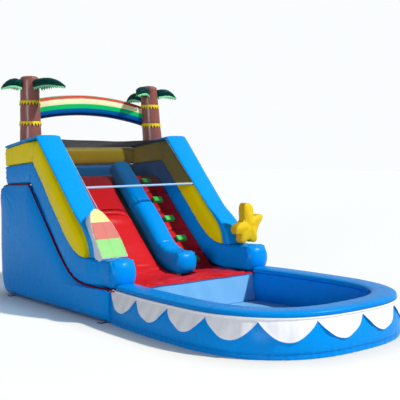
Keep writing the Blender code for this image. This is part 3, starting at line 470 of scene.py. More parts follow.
def skin(name, rings, material, nodes=(), around=(), along=(), amp=0.0025, groove=0.004, closed_along=False,
         seed=1, shape=None, extra=None, sharp=38.0, fill=None, span=None):
    """Skin rings of points, with seams drawn in and puckered. Ends are closed unless the rings run in a loop.

    around and along are the columns and rows that carry a seam, and span says which rows have those on
    columns. fill is not used.
    columns. fill says how tight a padded piece is.
    """
    points = np.asarray(rings, float)
    rows, columns = points.shape[:2]
    distance, run, place_around, place_along = seam_fields(points, around, along, span)
    normal = grid_normals(points, True, closed_along)
    lift = amp * pucker(run, distance, seed) - groove * np.exp(-(distance / 0.011) ** 2)
    if not around and not along:
        lift = np.zeros_like(lift)
    if shape is not None:
        lift = lift + shape(Spots(points, place_around, place_along))
    points = points + normal * lift[:, :, None]
    verts = points.reshape(-1, 3)
    faces = grid_faces(rows, columns, True, closed_along)
    fields = {"seam_dist": distance.ravel(), "seam_run": run.ravel()}
    for key, values in (extra or {}).items():
        fields[key] = np.asarray(values, float).ravel()
    if not closed_along:
        for row, flip in ((0, True), (rows - 1, False)):
            centre = len(verts)
            verts = np.vstack([verts, points[row].mean(0)])
            for key in fields:
                fields[key] = np.append(fields[key], fields[key][row * columns])
            fields["seam_dist"][-1] = NO_SEAM
            for k in range(columns):
                a, b = row * columns + k, row * columns + (k + 1) % columns
                faces.append((b, a, centre) if flip else (a, b, centre))
    piece = put_mesh(name, verts, faces, material, nodes, attributes=fields, sharp=sharp)
    return piece


def bulged_square(count, corner=0.87):
    """Unit ring of a square tube: four swollen faces that meet in soft corners. Corners are at eighths."""
    radius = (corner ** 2 + (1 - corner) ** 2) / (2 * (1 - corner))
    quarter = count // 4
    ring = []
    for face in range(4):
        angle = face * math.pi / 2
        for k in range(quarter):
            across = corner * (2 * (k + 0.5) / quarter - 1)
            out = 1 - radius + math.sqrt(radius ** 2 - across ** 2)
            ring.append((out * math.cos(angle) - across * math.sin(angle),
                         out * math.sin(angle) + across * math.cos(angle)))
    ring = np.roll(np.array(ring), -(quarter // 2), 0)
    for _ in range(2):
        ring = ring * 0.5 + (np.roll(ring, 1, 0) + np.roll(ring, -1, 0)) * 0.25
    return ring / np.abs(ring).max()


def crisp_on(ring, crisp, sign):
    """Ring whose corners on one side (sign of the second axis) are those of a crisper ring."""
    t = np.clip(0.5 + sign * ring[:, 1:2] * 1.2, 0, 1)
    return ring * (1 - t) + crisp * t


def swollen_cap(row, x_range, unit, push, steps=12, power=3.2):
    """Rings over a tube's swollen end, rounder towards the middle."""
    circle = unit / np.linalg.norm(unit, axis=1, keepdims=True) * 0.98
    out = []
    for k in range(1, steps + 1):
        t = math.sin(math.pi / 2 * k / steps)
        shrink = max(1 - (k / steps) ** power, 0.02)
        mixed = unit * (1 - t * 0.9) + circle * t * 0.9
        ring = section(row[:2], row[2:], x_range, mixed * shrink)
        out.append(ring + np.asarray(push) * (1 - shrink ** 2.2) ** (1 / 2.0))
    return out


def super_ring(count, power):
    """Unit ring of a superellipse with even steps, from angle 0."""
    angle = np.linspace(0, TAU, 1441)[:-1]
    c, s = np.cos(angle), np.sin(angle)
    points = np.stack([np.sign(c) * np.abs(c) ** (2 / power), np.sign(s) * np.abs(s) ** (2 / power)], 1)
    return resample(np.vstack([points, points[:1]]), count=count + 1)[0][:-1]


def corners(count):
    """Columns of a ring's four corners."""
    return [count // 8 + count * k // 4 for k in range(4)]


def densify(rows, step=ROW_STEP):
    """More rows between rows of numbers, evenly spaced. Returns them and where the given ones went."""
    rows = [np.asarray(row, float) for row in rows]
    out, marks = [], []
    for a, b in zip(rows, rows[1:]):
        marks.append(len(out))
        pairs = (b - a).reshape(-1, 2)
        count = max(1, int(round(np.linalg.norm(pairs, axis=1).max() / step)))
        for k in range(count):
            out.append(a + (b - a) * k / count)
    marks.append(len(out))
    out.append(rows[-1])
    return out, marks


def spline(points, steps, closed=False):
    """Catmull-Rom curve through points of any size."""
    run = [np.asarray(p, float) for p in points]
    if closed:
        run = [run[-1]] + run + run[:2]
    else:
        run = [run[0] * 2 - run[1]] + run + [run[-1] * 2 - run[-2]]
    out = []
    for i in range(1, len(run) - 2):
        p0, p1, p2, p3 = run[i - 1:i + 3]
        for k in range(steps):
            t = k / steps
            out.append(0.5 * (2 * p1 + (p2 - p0) * t + (2 * p0 - 5 * p1 + 4 * p2 - p3) * t ** 2
                              + (3 * p1 - p0 - 3 * p2 + p3) * t ** 3))
    return out if closed else out + [run[-2]]


def rounded_path(points, reaches, steps=10):
    """Polyline whose inner corners become curves that reach so far along its lines."""
    points = [np.asarray(p, float) for p in points]
    path = [points[0]]
    for i in range(1, len(points) - 1):
        corner = points[i]
        back, ahead = points[i - 1] - corner, points[i + 1] - corner
        start = corner + back / np.linalg.norm(back) * reaches[i - 1]
        end = corner + ahead / np.linalg.norm(ahead) * reaches[i - 1]
        for k in range(steps + 1):
            t = k / steps
            path.append(start * (1 - t) ** 2 + corner * 2 * t * (1 - t) + end * t ** 2)
    path.append(points[-1])
    return path


def resample(path, step=None, count=None):
    """Even points along a polyline, by step or by number, and how far along it each lies."""
    path = np.asarray(path, float)
    length = np.concatenate([[0], np.cumsum(np.linalg.norm(np.diff(path, axis=0), axis=1))])
    if count is None:
        count = max(2, int(round(length[-1] / step)) + 1)
    want = np.linspace(0, length[-1], count)
    return np.stack([np.interp(want, length, path[:, j]) for j in range(path.shape[1])], 1), want


def even_loop(points, step):
    """Even points round a closed outline."""
    return resample(list(points) + [points[0]], step)[0][:-1]


def at_height(ring, z):
    """Flat ring at one height, or at a height for each of its points."""
    return np.column_stack([ring, np.broadcast_to(z, len(ring))])


def index_near(values, wanted):
    """Place, in a list, of the value that is nearest to a wanted one."""
    return int(np.argmin(np.abs(np.asarray(values) - wanted)))


def shown_area(piece):
    """Area of one side of a thin piece."""
    return sum(face.area for face in piece.data.polygons) / 2


def cap_rings(ring, push, flat=False):
    """Shrinking rings that close a tube with a swollen face, or a nearly flat one that faces a neighbour."""
    centre = ring.mean(0)
    steps = 6 if flat else 9
    out = []
    for k in range(1, steps + 1):
        t = math.sin(math.pi / 2 * k / steps) * (1 if flat else 0.97)
        scale = 1 - k / steps * 0.92 if flat else (1 - t ** 2.6) ** (1 / 2.6)
        out.append(centre + (ring - centre) * scale + np.asarray(push) * t)
    return out


def cord_tube(name, path, radius, material, sides=8):
    """Round piping along a path."""
    path = np.asarray(path, float)
    radius = np.broadcast_to(np.asarray(radius, float), (len(path),))
    ahead = np.gradient(path, axis=0)
    ahead /= np.linalg.norm(ahead, axis=1, keepdims=True)
    side = np.cross(ahead, (0.013, 0.021, 1.0))
    side /= np.linalg.norm(side, axis=1, keepdims=True)
    up = np.cross(side, ahead)
    rings = []
    for point, r, s, u in zip(path, radius, side, up):
        rings.append([point + (s * math.cos(TAU * k / sides) + u * math.sin(TAU * k / sides)) * r
                      for k in range(sides)])
    return skin(name, rings, material)


# Walls

def slope_z(y, depth):
    """Height, at a y, of the line that runs so deep below the walls' upper edge."""
    return CREST_Z - depth / math.cos(SLOPE) + (y - CREST_Y) * math.tan(SLOPE)


def slope_y(z, depth):
    """The y at which that line has a height."""
    return CREST_Y + (z - CREST_Z + depth / math.cos(SLOPE)) / math.tan(SLOPE)


def wall_rows(steps):
    """Side view of the walls from rear to foot: (y, z) of their four long edges, lowest first."""
    return [np.array(row) for row in WALL_STRAIGHT] + spline(WALL_FOOT, steps)


def section(low, high, x_range, unit):
    """Ring of a tube seen from its side as the line from low to high, both (y, z)."""
    x_mid, x_half = (x_range[0] + x_range[1]) / 2, abs(x_range[1] - x_range[0]) / 2 - GAP / 2
    low, high = np.asarray(low), np.asarray(high)
    mid, half = (low + high) / 2, (high - low) / 2
    return np.column_stack([x_mid + unit[:, 0] * x_half, mid + unit[:, 1:] * half])


def wall_side(side, y=0.0, inner_pinch=0.0, outer_pinch=0.0):
    """x of a wall's inner and outer face, pinched in (or, below 0, out) in front of its crest."""
    t = ramp(y, CREST_Y, -0.9)
    return (side * (WALL_INNER + inner_pinch * t), side * (WALL_OUTER - outer_pinch * t))


def slack(seed, amount, wavelength=0.5):
    """Broad unevenness of a filled tube."""
    random = np.random.default_rng(seed)
    waves = [(random.normal(size=3), random.uniform(0, TAU)) for _ in range(5)]

    def shape(at):
        total = np.zeros_like(at.x)
        for direction, phase in waves:
            direction = direction / np.linalg.norm(direction)
            total += np.sin(at.points @ direction * TAU / wavelength + phase)
        return total * amount / 3
    return shape


def wall_tube(name, node, material, rows, ring_at, push, foot=None, **values):
    """Skin a tube along a wall, with a nearly flat rear end, a mitred crest and, with foot, a swollen foot.

    ring_at(row) gives a ring, and foot(row) the rings that close the tube from its last row on.
    """
    rows, marks = densify(rows)
    if foot:
        rows = rows[:-PILLOW_CAP]
    rings = [ring_at(row) for row in rows]
    start = cap_rings(rings[0], (0, push, 0), flat=True)[::-1]
    first, last = len(start), len(start) + len(rings) - 1
    mitres = [first, first + marks[1]] + ([last] if foot else [])
    values.setdefault("span", (first, last))
    skin(name, start + rings + (foot(rows[-1]) if foot else []), material, [node], along=mitres, fill=TIGHT,
         **values)


def build_walls():
    """Both walls: the lower tube with its pillow, the yellow tube on it and the strip on its front."""
    soft, crisp, pillow_unit = (bulged_square(WALL_COLUMNS, corner) for corner in (0.90, 0.972, 0.87))
    lower_unit, yellow_unit = crisp_on(soft, crisp, 1), crisp_on(super_ring(WALL_COLUMNS, 2.6), crisp, -1)
    oval, square = super_ring(STRIP_COLUMNS, 2.45), super_ring(STRIP_COLUMNS, 5.0)
    rows = wall_rows(8)
    for side, word in SIDES:
        lower_pinch, yellow_pinch, strip_pinches = WALL_PINCHES[word]

        def lower_ring(row):
            t = ramp(row[0], -2.10, -0.25)
            x_range = wall_side(side, row[0], 0.0, lower_pinch * (1 - t))
            return section(row[:2], row[2:], x_range, lower_unit * (1 - t) + pillow_unit * t)

        def pillow_face(row):
            push = (0, -0.070 - 0.012 * PILLOW_CAP, 0)
            return swollen_cap(row, wall_side(side), pillow_unit, push, steps=22, power=3.4)

        def yellow_ring(row):
            t = ramp(row[2], -0.55, -0.25)
            x_range = wall_side(side, row[2], -0.018, yellow_pinch)
            return section(row[:2], row[2:], x_range, yellow_unit * t + crisp * (1 - t))

        def strip_ring(row):
            t = max(ramp(row[0], -1.70, -0.3), ramp(row[0], -0.80, 0.3))
            x_range = wall_side(side, row[0], *strip_pinches)
            return section(row[:2], row[2:], x_range, oval * (1 - t) + square * t)

        lower_rows = [row[:4] for row in rows] + list(PILLOW)
        wall_tube(word + "_lower_wall_skin", word + "_lower_wall", BLUE, lower_rows, lower_ring, 0.030,
                  pillow_face, around=corners(WALL_COLUMNS), amp=0.0055, groove=0.0026, seed=11 + side,
                  shape=foot_creases(side))
        wall_tube(word + "_yellow_skin", word + "_yellow_tube", YELLOW, [row[2:6] for row in rows],
                  yellow_ring, 0.022, around=corners(WALL_COLUMNS), amp=0.0040, groove=0.0012, seed=21 + side,
                  shape=slack(5, 0.002))
        wall_tube(word + "_strip_skin", word + "_front_strip", LIT_STRIP_BLUE, [row[4:] for row in rows],
                  strip_ring, 0.012, around=[0, STRIP_COLUMNS // 2], span=None, amp=0.0018, groove=0.001,
                  seed=31 + side, shape=slack(8, 0.0015, 0.7))
        build_seam_piping(side, word)


def foot_creases(side):
    """Short upright creases where the lower tube bends into its pillow."""
    random = np.random.default_rng(71 + side)
    creases = [(random.uniform(-2.26, -1.86), random.uniform(0.45, 0.66), random.uniform(0.02, 0.07))
               for _ in range(9)]

    def shape(at):
        total = np.zeros_like(at.x)
        for y, z, reach in creases:
            dy, dz = (at.y - y - 0.25 * (at.z - z)) / 0.008, (at.z - z) / reach
            total -= 0.0035 * np.exp(-dy ** 2 - dz ** 2)
        return total
    return shape


def seam_line():
    """Line (y, z) between the base and the walls, down to the base's front."""
    rows = [row[:2] for row in wall_rows(6)]
    return rows + [np.array(PILLOW[0][:2]), np.array((BASE_FRONT_Y + GAP, PILLOW[0][1] + 0.005))]


def build_seam_piping(side, word):
    """Dark red welt between the base and the walls."""
    line, _ = resample(seam_line(), 0.02)
    line = line[line[:, 0] < WALL_REAR_Y - 0.01]
    path = [(side * 1.208, y, z) for y, z in line]
    grow = ramp(line[:, 0], -1.0, -1.0)
    cord_tube(word + "_seam_welt", path, 0.010 + 0.007 * grow, SEAM_RED)


# Base

def swollen_rings(outline, centre, place, swell, steps=26):
    """Rings from an outline to its middle, swollen like a filled panel. place(u, v, h) gives points."""
    outline, centre = np.asarray(outline, float), np.asarray(centre, float)
    rings = [place(outline[:, 0], outline[:, 1], np.full(len(outline), -0.02))]
    for k in range(steps + 1):
        s = 1 - (k / steps) ** 1.8 * 0.985
        ring = centre + (outline - centre) * s
        rise = swell * (1 - s ** 4) ** 0.36 if s < 1 else 0.0
        rings.append(place(ring[:, 0], ring[:, 1], np.full(len(outline), rise)))
    return rings


def base_fullness(z):
    """How far a base panel swells at its edges, less at its foot and its top."""
    return ramp(z, 0, 0.30) ** 0.7 * ramp(z, BASE_TOP_Z + 0.01, -0.10) ** 0.5


def build_base():
    """Side and rear panels of the base."""
    top = [(y, z - GAP) for y, z in seam_line()]
    outline = [(BASE_FRONT_Y + GAP, 0.0), (BASE_REAR_Y, 0.0), (BASE_REAR_Y, BASE_TOP_Z - 0.10),
               (BASE_REAR_Y - 0.015, BASE_TOP_Z - 0.03)] + top
    even = even_loop(outline, 0.022)
    for side, word in SIDES:
        def place(u, v, h, side=side):
            full = ramp(u, -0.45, 0.5) ** 1.5 * base_fullness(v)
            x = BASE_INNER + PANEL_THICKNESS * 0.6 + 0.020 + h - 0.040 * (1 - ramp(v, 0, 0.12)) ** 2
            return np.stack([side * (x + 0.018 * full), u + 0.055 * full, v], 1)
        rings = swollen_rings(even, (-0.80, 0.33), place, SIDE_SWELL)
        skin("base_%s_skin" % word, rings, BLUE, ["base_%s_panel" % word], along=[1], amp=0.0035,
             groove=0.002, seed=41 + side, shape=side_shape, sharp=60, fill=TIGHT)
    half, high = BASE_INNER - PANEL_THICKNESS * 0.4 - GAP, BASE_TOP_Z - 0.008
    even = even_loop([(-half, 0.0), (half, 0.0), (half, high), (-half, high)], 0.03)

    def place_rear(u, v, h):
        full = base_fullness(v)
        depth = np.minimum(0.035 * full + h, REAR_SWELL - 0.001)
        return np.stack([u * (1 + 0.045 * full), BASE_REAR_Y + depth, v], 1)
    rings = swollen_rings(even, (0.0, high / 2), place_rear, REAR_SWELL)
    skin("base_rear_skin", rings, BLUE, ["base_rear_panel"], along=[1], amp=0.0035, groove=0.002,
         seed=47, shape=rear_ties, sharp=60, fill=TIGHT)


def side_shape(at):
    """Drawn-in foot of a side panel, and creases that fan out of its rear corner and the seam's bend."""
    total = 0.006 * np.sin(at.y * 2.1 + at.z * 3.3) * np.sin(at.z * 2.0) - 0.012 * np.exp(-(at.z / 0.05) ** 2)
    for y, z, reach, depth, count in ((0.05, 1.46, 0.16, 0.010, 15.0), (-0.62, 1.47, 0.11, 0.005, 17.0)):
        distance, angle = np.hypot(at.y - y, at.z - z), np.arctan2(at.z - z, at.y - y)
        fade = np.exp(-distance / reach) * ramp(distance, 0, 0.03)
        total += depth * np.sin(angle * count + 2 * np.sin(angle * 3)) * fade
    return total


def rear_ties(at):
    """Shallow upright channels where inner webs hold the rear panel in, but none at the zip."""
    total = sum(-0.022 * np.exp(-np.abs(at.x - x) / 0.05) for x in (-0.44, 0.12, 0.565))
    aside, above = np.abs(at.x - ZIP_X) - 0.20, np.abs(at.z - ZIP_Z) - FLAP_RISE
    from_zip = np.hypot(np.maximum(aside, 0), np.maximum(above, 0))
    return total * ramp(at.z, 0, 0.3) * ramp(at.z, 1.4, -0.3) * ramp(from_zip, 0.03, 0.15)


# Lanes

def lane_path(depth, bends):
    """Line (y, z) of a lane: platform, slope and landing, with bends between them."""
    crest = (slope_y(DECK_Z, depth), DECK_Z)
    foot = (slope_y(LANDING_Z, depth), LANDING_Z)
    start = (DECK_FRONT_Y - GAP * 2, DECK_Z)
    end = (LANDING_REAR_Y + GAP, LANDING_Z)
    return rounded_path([start, crest, foot, end], bends)


def lane_grid(depth, bends, span, crown, valley, columns, seam_ys):
    """Rings of a lane pad and its seam rows. The pad rises by crown and sinks by valley at its right."""
    path, _ = resample(lane_path(depth, bends), ROW_STEP)
    t = np.linspace(0, 1, columns)
    xs = span[0] + (span[1] - span[0]) * t
    rings = []
    for y, z in path:
        fade = min(ramp(z, LANDING_Z, 0.3), ramp(z, DECK_Z + 0.02, -0.2))
        rise = (crown * (1 - (2 * t - 1) ** 4) - valley * np.exp(-(1 - t) / 0.10)) * fade
        top = np.stack([xs, np.full(columns, y), z + rise], 1)
        low = np.array([(x, y, z - DECK_THICKNESS) for x in (span[1], (span[0] + span[1]) / 2, span[0])])
        rings.append(np.vstack([top, low]))
    return rings, [index_near(path[:, 0], y) for y in seam_ys]


def build_chute():
    """Slide lane, fuller in its middle and drawn down beside the divider."""
    span = (-WALL_INNER + GAP, DIVIDER_LEFT - GAP)
    rings, fold = lane_grid(CHUTE_DEPTH, CHUTE_BENDS, span, CHUTE_CROWN, 0.085, CHUTE_COLUMNS, [-1.27])

    def chute_shape(at):
        """One deep fold across the chute and fine ripples at its foot."""
        gap = at.along - at.along[fold]
        across = np.clip(1 - ((at.x + 0.44) / 0.42) ** 2, 0, 1)
        crease = 0.022 * np.exp(-((gap - 0.09) / 0.07) ** 2) - 0.050 * np.exp(-np.abs(gap) / 0.010)
        waves = np.sin(at.y * 95 + at.x * 6) + np.sin(at.y * 61 - at.x * 9)
        ripple = 0.0048 * np.exp(-((at.y + 1.96) / 0.13) ** 2) * waves
        return (crease * across + ripple) * (np.arange(at.x.shape[1]) < CHUTE_COLUMNS)
    skin("slide_chute_skin", rings, RED, ["slide_chute"], around=[0, CHUTE_COLUMNS - 1], along=fold,
         amp=0.0060, groove=0.003, seed=51, shape=chute_shape, fill=TIGHT)


def build_climbing_wall():
    """Climbing lane with a seam between each two of its holds, and the holds."""
    span = (DIVIDER_RIGHT + GAP, WALL_INNER - GAP)
    pitch_y = HOLD_PITCH * math.cos(SLOPE)
    seam_ys = [y for y in (HOLD_TOP_Y - pitch_y * 0.5 - pitch_y * k for k in range(HOLD_COUNT)) if y > -2.0]
    rings, seam_rows = lane_grid(CLIMB_DEPTH, CLIMB_BENDS, span, 0.0, 0.0, CLIMB_COLUMNS, seam_ys)

    def climb_shape(at):
        """A shallow dip at each seam between two holds."""
        total = sum(-0.016 * np.exp(-np.abs(at.along - at.along[row]) / 0.03) for row in seam_rows)
        return total * (np.arange(at.x.shape[1]) < CLIMB_COLUMNS)
    skin("climbing_wall_skin", rings, RED, ["climbing_wall"], around=[0, CLIMB_COLUMNS - 1],
         along=seam_rows, amp=0.0045, groove=0.004, seed=52, shape=climb_shape, fill=TIGHT)
    build_holds((span[0] + span[1]) / 2 + 0.02)


def build_holds(x_mid):
    """Padded foot holds: rounded blocks with a seam round their upper edge."""
    width, reach, height = HOLD_SIZE
    along = np.array((0, -math.cos(SLOPE), -math.sin(SLOPE)))
    normal = np.array((0, -math.sin(SLOPE), math.cos(SLOPE)))
    start = np.array((x_mid, HOLD_TOP_Y, slope_z(HOLD_TOP_Y, CLIMB_DEPTH)))
    unit = super_ring(48, 12.0)
    for k in range(HOLD_COUNT):
        foot = start + along * HOLD_PITCH * k + normal * GAP
        rings = []
        for level, scale in ((0.0, 1.0), (0.35, 1.01), (0.75, 1.01), (0.92, 0.99), (1.0, 0.95), (1.02, 0.88),
                             (1.03, 0.65), (1.04, 0.40), (1.045, 0.12)):
            rings.append([foot + np.array((1, 0, 0)) * u * width / 2 * scale + along * v * reach / 2 * scale
                          + normal * height * level for u, v in unit])
        skin("foot_hold_%d_skin" % (k + 1), rings, GREEN, ["foot_hold_%d" % (k + 1)], along=[3],
             amp=0.0010, groove=0.001, seed=60 + k, fill=TIGHT)


def build_divider():
    """Tube between the lanes: slim at its top, creased half way, fuller below, with a pillow at its foot."""
    span = (DIVIDER_LEFT, DIVIDER_RIGHT)
    normal = np.array((-math.sin(SLOPE), math.cos(SLOPE)))
    top_y = slope_y(DIVIDER_TOP_Z, DIVIDER_TOP_DEPTHS[0]) + 0.02
    rows = [np.array((DECK_FRONT_Y - 0.004, DECK_Z + GAP, top_y, DIVIDER_TOP_Z))]
    for y, top_depth in zip((-0.80, -1.60), DIVIDER_TOP_DEPTHS):
        low = np.array((y, slope_z(y, DIVIDER_LOW_DEPTH)))
        rows.append(np.array((*low, *(low + normal * (DIVIDER_LOW_DEPTH - top_depth)))))
    bend = [rows[-1], (-1.76, 0.475, -1.905, 0.725), (-1.90, 0.415, -2.005, 0.685),
            (-2.05, 0.397, -2.09, 0.672), (-2.20, 0.396, -2.20, 0.672)]
    rows, marks = densify(rows[:-1] + spline(bend, 8), 0.011)
    round_unit, square_unit = super_ring(168, 2.5), super_ring(168, 4.0)
    rings = []
    for row in rows:
        blend = ramp(row[0], -1.50, -0.5)
        slim = 0.90 + 0.10 / (1 + math.exp((row[2] - DIVIDER_CREASE_Y) / 0.03))
        wide = 0.035 * ramp(row[0], -1.75, 0.4)
        rings.append(section(row[:2], row[2:], (span[0] + 0.4 * wide, span[1] + wide),
                             (round_unit * (1 - blend) + square_unit * blend) * slim))
    start = cap_rings(rings[0], (0, 0.03, 0.012))[::-1]
    end = swollen_cap(rows[-1], span, square_unit, (0, -0.085, 0), steps=14)
    last = len(start) + len(rings) - 1
    middle = len(start) + marks[1] + index_near([row[2] for row in rows[marks[1]:]], DIVIDER_CREASE_Y)

    def shape(at):
        gap = at.along - at.along[middle]
        total = -0.020 * np.exp(-np.abs(gap) / 0.012)
        total += 0.006 * np.exp(-np.abs(gap) / 0.05) * np.sin(at.around * TAU / 0.061)
        for y, z, depth in ((-1.80, 0.73, 0.011), (-1.88, 0.71, 0.008), (-1.97, 0.70, 0.010)):
            line = (at.y - y) + 0.30 * (at.z - z) + 0.05 * (at.x - 0.15)
            total -= depth * np.exp(-np.abs(line) / 0.010) * ramp(at.z, 0.50, 0.1)
        ring = np.exp(-(at.along - at.along[last]) ** 2 / 0.0022)
        return total + 0.0034 * ring * np.sin(at.around * TAU / 0.046)
    skin("divider_skin", start + rings + end, BLUE, ["divider_tube"], along=[middle, last],
         amp=0.0060, groove=0.004, seed=55, shape=shape, fill=0.9)


def pad_rings(y0, y1, z0, z1, crown, edge=0.02):
    """Rings of a pad between the walls, with a soft edge and a swollen top, from its foot to its middle."""
    x0, x1 = -WALL_INNER + GAP, WALL_INNER - GAP
    centre = np.array(((x0 + x1) / 2, (y0 + y1) / 2))
    outline = even_loop([(x0, y0), (x1, y0), (x1, y1), (x0, y1)], 0.03)
    rings = []
    levels = [(z0, 0.0), ((z0 + z1) / 2, 0.0), (z1 - edge, 0.0), (z1 - edge * 0.4, edge * 0.15),
              (z1 - edge * 0.1, edge * 0.45), (z1, edge)]
    half = np.array(((x1 - x0) / 2, (y1 - y0) / 2))
    for z, inset in levels:
        rings.append(at_height(centre + (outline - centre) * (1 - inset / half), z))
    inner = centre + (outline - centre) * (1 - edge / half)
    for k in range(1, 15):
        s = 1 - k / 14.5
        rings.append(at_height(centre + (inner - centre) * s, z1 + crown * (1 - s ** 2.5)))
    return rings


def build_landing():
    """Landing pad with soft folds, and the deck."""
    def folds(at):
        arc = np.hypot(at.x + 0.10, (at.y + 2.62) * 1.3)
        fan = 0.011 * np.sin(arc * 27) * np.exp(-((arc - 0.45) / 0.28) ** 2)
        return (at.z > LANDING_Z - 0.012) * (fan + 0.007 * np.sin(at.x * 13 + 2 * np.sin(at.y * 9)))
    rings = pad_rings(BASE_FRONT_Y + GAP, LANDING_REAR_Y, 0.275, LANDING_Z, 0.008)
    skin("landing_skin", rings, RED, ["landing_pad"], along=[5], amp=0.0015, groove=0.0, seed=57,
         shape=folds, fill=TIGHT)
    rings = pad_rings(DECK_FRONT_Y, REAR_WALL_FRONT - GAP, DECK_Z - DECK_THICKNESS, DECK_Z, 0.012)
    skin("deck_skin", rings, RED, ["deck_pad"], along=[5], amp=0.002, seed=58, fill=TIGHT)


def build_lip():
    """Narrow edge in front of the landing pad."""
    lip = []
    mid_y, half = (LIP_FRONT_Y + BASE_FRONT_Y) / 2, (BASE_FRONT_Y - LIP_FRONT_Y) / 2 - GAP
    unit = super_ring(24, 2.8)
    for x in np.linspace(-WALL_OUTER, WALL_OUTER, 97):
        sag = 0.0015 * math.sin(x * 9) + 0.001 * math.sin(x * 23)
        lip.append([(x, mid_y + u * half, LIP_Z + v * LIP_HALF + sag) for u, v in unit])
    skin("landing_lip_skin", lip, RED, ["landing_lip"])


def build_apron():
    """Liner that hangs from the landing's lip."""
    apron = []
    for x in np.linspace(-APRON_HALF, APRON_HALF, 121):
        column = []
        for t in np.linspace(0, 1, 15):
            wave = 0.006 * math.sin(x * 17 + 1.2 * math.sin(x * 5)) * math.sin(math.pi * t)
            column.append((x, LIP_FRONT_Y + 0.022 - 0.055 * t ** 1.3 + wave, LIP_Z - 0.004 - APRON_DROP * t))
        apron.append(column)
    cloth = sheet_skin("liner_apron", apron, LINER, 0.002)


def sheet_skin(name, grid, material, thickness, nodes=(), body="slide"):
    """A thin sheet from a grid of points, given a little thickness on its inner side."""
    points = np.asarray(grid, float)
    normal = grid_normals(points, False, False)
    rows, columns = points.shape[:2]
    count = rows * columns
    verts = np.vstack([points.reshape(-1, 3), (points - normal * thickness).reshape(-1, 3)])
    front = grid_faces(rows, columns, False, False)
    faces = front + [tuple(v + count for v in face[::-1]) for face in front]
    spots = np.arange(count).reshape(rows, columns)
    border = np.concatenate([spots[0], spots[1:, -1], spots[-1, -2::-1], spots[-2:0:-1, 0]]).tolist()
    for a, b in zip(border, border[1:] + border[:1]):
        faces.append((a, b, b + count, a + count))
    fields = {"seam_dist": np.full(2 * count, NO_SEAM), "seam_run": np.zeros(2 * count)}
    return put_mesh(name, verts, faces, material, nodes, body, fields)


def build_rear_wall():
    """Two bolsters that close the back between the walls."""
    unit = super_ring(48, 2.8)
    half_y, mid_y = REAR_WALL_DEPTH / 2, REAR_WALL_FRONT + REAR_WALL_DEPTH / 2
    for name, low, high, material in (
            ("rear_lower_bolster", BASE_TOP_Z + GAP, REAR_WALL_SPLIT_Z, BLUE),
            ("rear_upper_bolster", REAR_WALL_SPLIT_Z + GAP, REAR_WALL_TOP_Z, YELLOW)):
        mid_z, half_z = (low + high) / 2, (high - low) / 2
        rings = [np.array([(at, mid_y + u * half_y, mid_z + v * half_z) for u, v in unit])
                 for at in np.linspace(-REAR_WALL_HALF, REAR_WALL_HALF, BOLSTER_RINGS)]
        start = cap_rings(rings[0], (-0.05, 0, 0))[::-1]
        end = cap_rings(rings[-1], (0.05, 0, 0))
        ends = [len(start), len(start) + BOLSTER_RINGS - 1]
        skin(name + "_skin", start + rings + end, material, [name], along=ends, amp=0.004, groove=0.002,
             seed=81, shape=slack(9, 0.0025, 0.4), fill=TIGHT)


# Pool

def pool_outline(start_y, count):
    """Points and outward normals along the pool's plan, from its left end round the front."""
    a = math.pi * np.linspace(0, 1.5, 2881) - math.pi * 0.25
    c, s = -np.cos(a), -np.sin(a)
    depth = np.where(s < 0, POOL_FRONT, POOL_REAR)
    x = POOL_HALF * np.sign(c) * np.abs(c) ** (2 / POOL_POWER)
    y = POOL_CENTRE_Y + depth * np.sign(s) * np.abs(s) ** (2 / POOL_POWER)
    points, run = resample(np.stack([x, y], 1)[y <= start_y], count=count + 1)
    points[0, 1] = points[-1, 1] = start_y
    along = np.gradient(points, axis=0)
    normal = np.stack([along[:, 1], -along[:, 0]], 1)
    normal /= np.linalg.norm(normal, axis=1, keepdims=True)
    normal[0] = (math.copysign(1, points[0, 0]), 0)
    normal[-1] = (math.copysign(1, points[-1, 0]), 0)
    flip = (normal * (points - np.array((0, POOL_CENTRE_Y)))).sum(1) < 0
    normal[flip] *= -1
    return points, normal, run


def pool_wall_offset(z):
    """How far the pool's outer face lies inside its plan at a height. Below 0 it bulges past it."""
    t = ramp(np.asarray(z, float), 0.0, POOL_WALL_HEIGHT)
    return POOL_LEAN * t - POOL_SWELL * np.sin(math.pi * t) ** 0.7


def around_pool(start_y, count, profile):
    """Rings that carry a profile (depth inwards, z) round the pool."""
    points, normals, _ = pool_outline(start_y, count)
    rings = []
    for point, normal in zip(points, normals):
        at = point - normal * profile[:, :1]
        rings.append(np.column_stack([at, profile[:, 1]]))
    return rings


def build_pool():
    """Pool wall, then the rim, floor and valance that belong to it."""
    z = POOL_WALL_HEIGHT * np.linspace(0, 1, 25)
    outer = np.column_stack([pool_wall_offset(z), z])
    inner = np.column_stack([POOL_WALL_DEPTH - pool_wall_offset(z) * 0.8 + POOL_LEAN, z])[::-2]
    start = BASE_FRONT_Y - GAP

    def wall_shape(at):
        """A seam above the ground with creases below it."""
        run = at.along[:, :1]
        waves = np.sin(run * TAU / 0.11) + np.sin(run * TAU / 0.075 + 1)
        return 0.0025 * np.exp(-at.z / 0.07) * waves - 0.006 * np.exp(-((at.z - 0.045) / 0.012) ** 2)
    rings = around_pool(start, POOL_RINGS, np.vstack([outer, inner]))
    skin("pool_wall_skin", rings, BLUE, ["pool_wall"], around=[3], along=[2], amp=0.0022,
         groove=0.003, seed=91, shape=wall_shape, fill=TIGHT)
    build_rim()
    build_pool_floor(float(inner[:, 0].max()) + 0.004)
    build_valance()


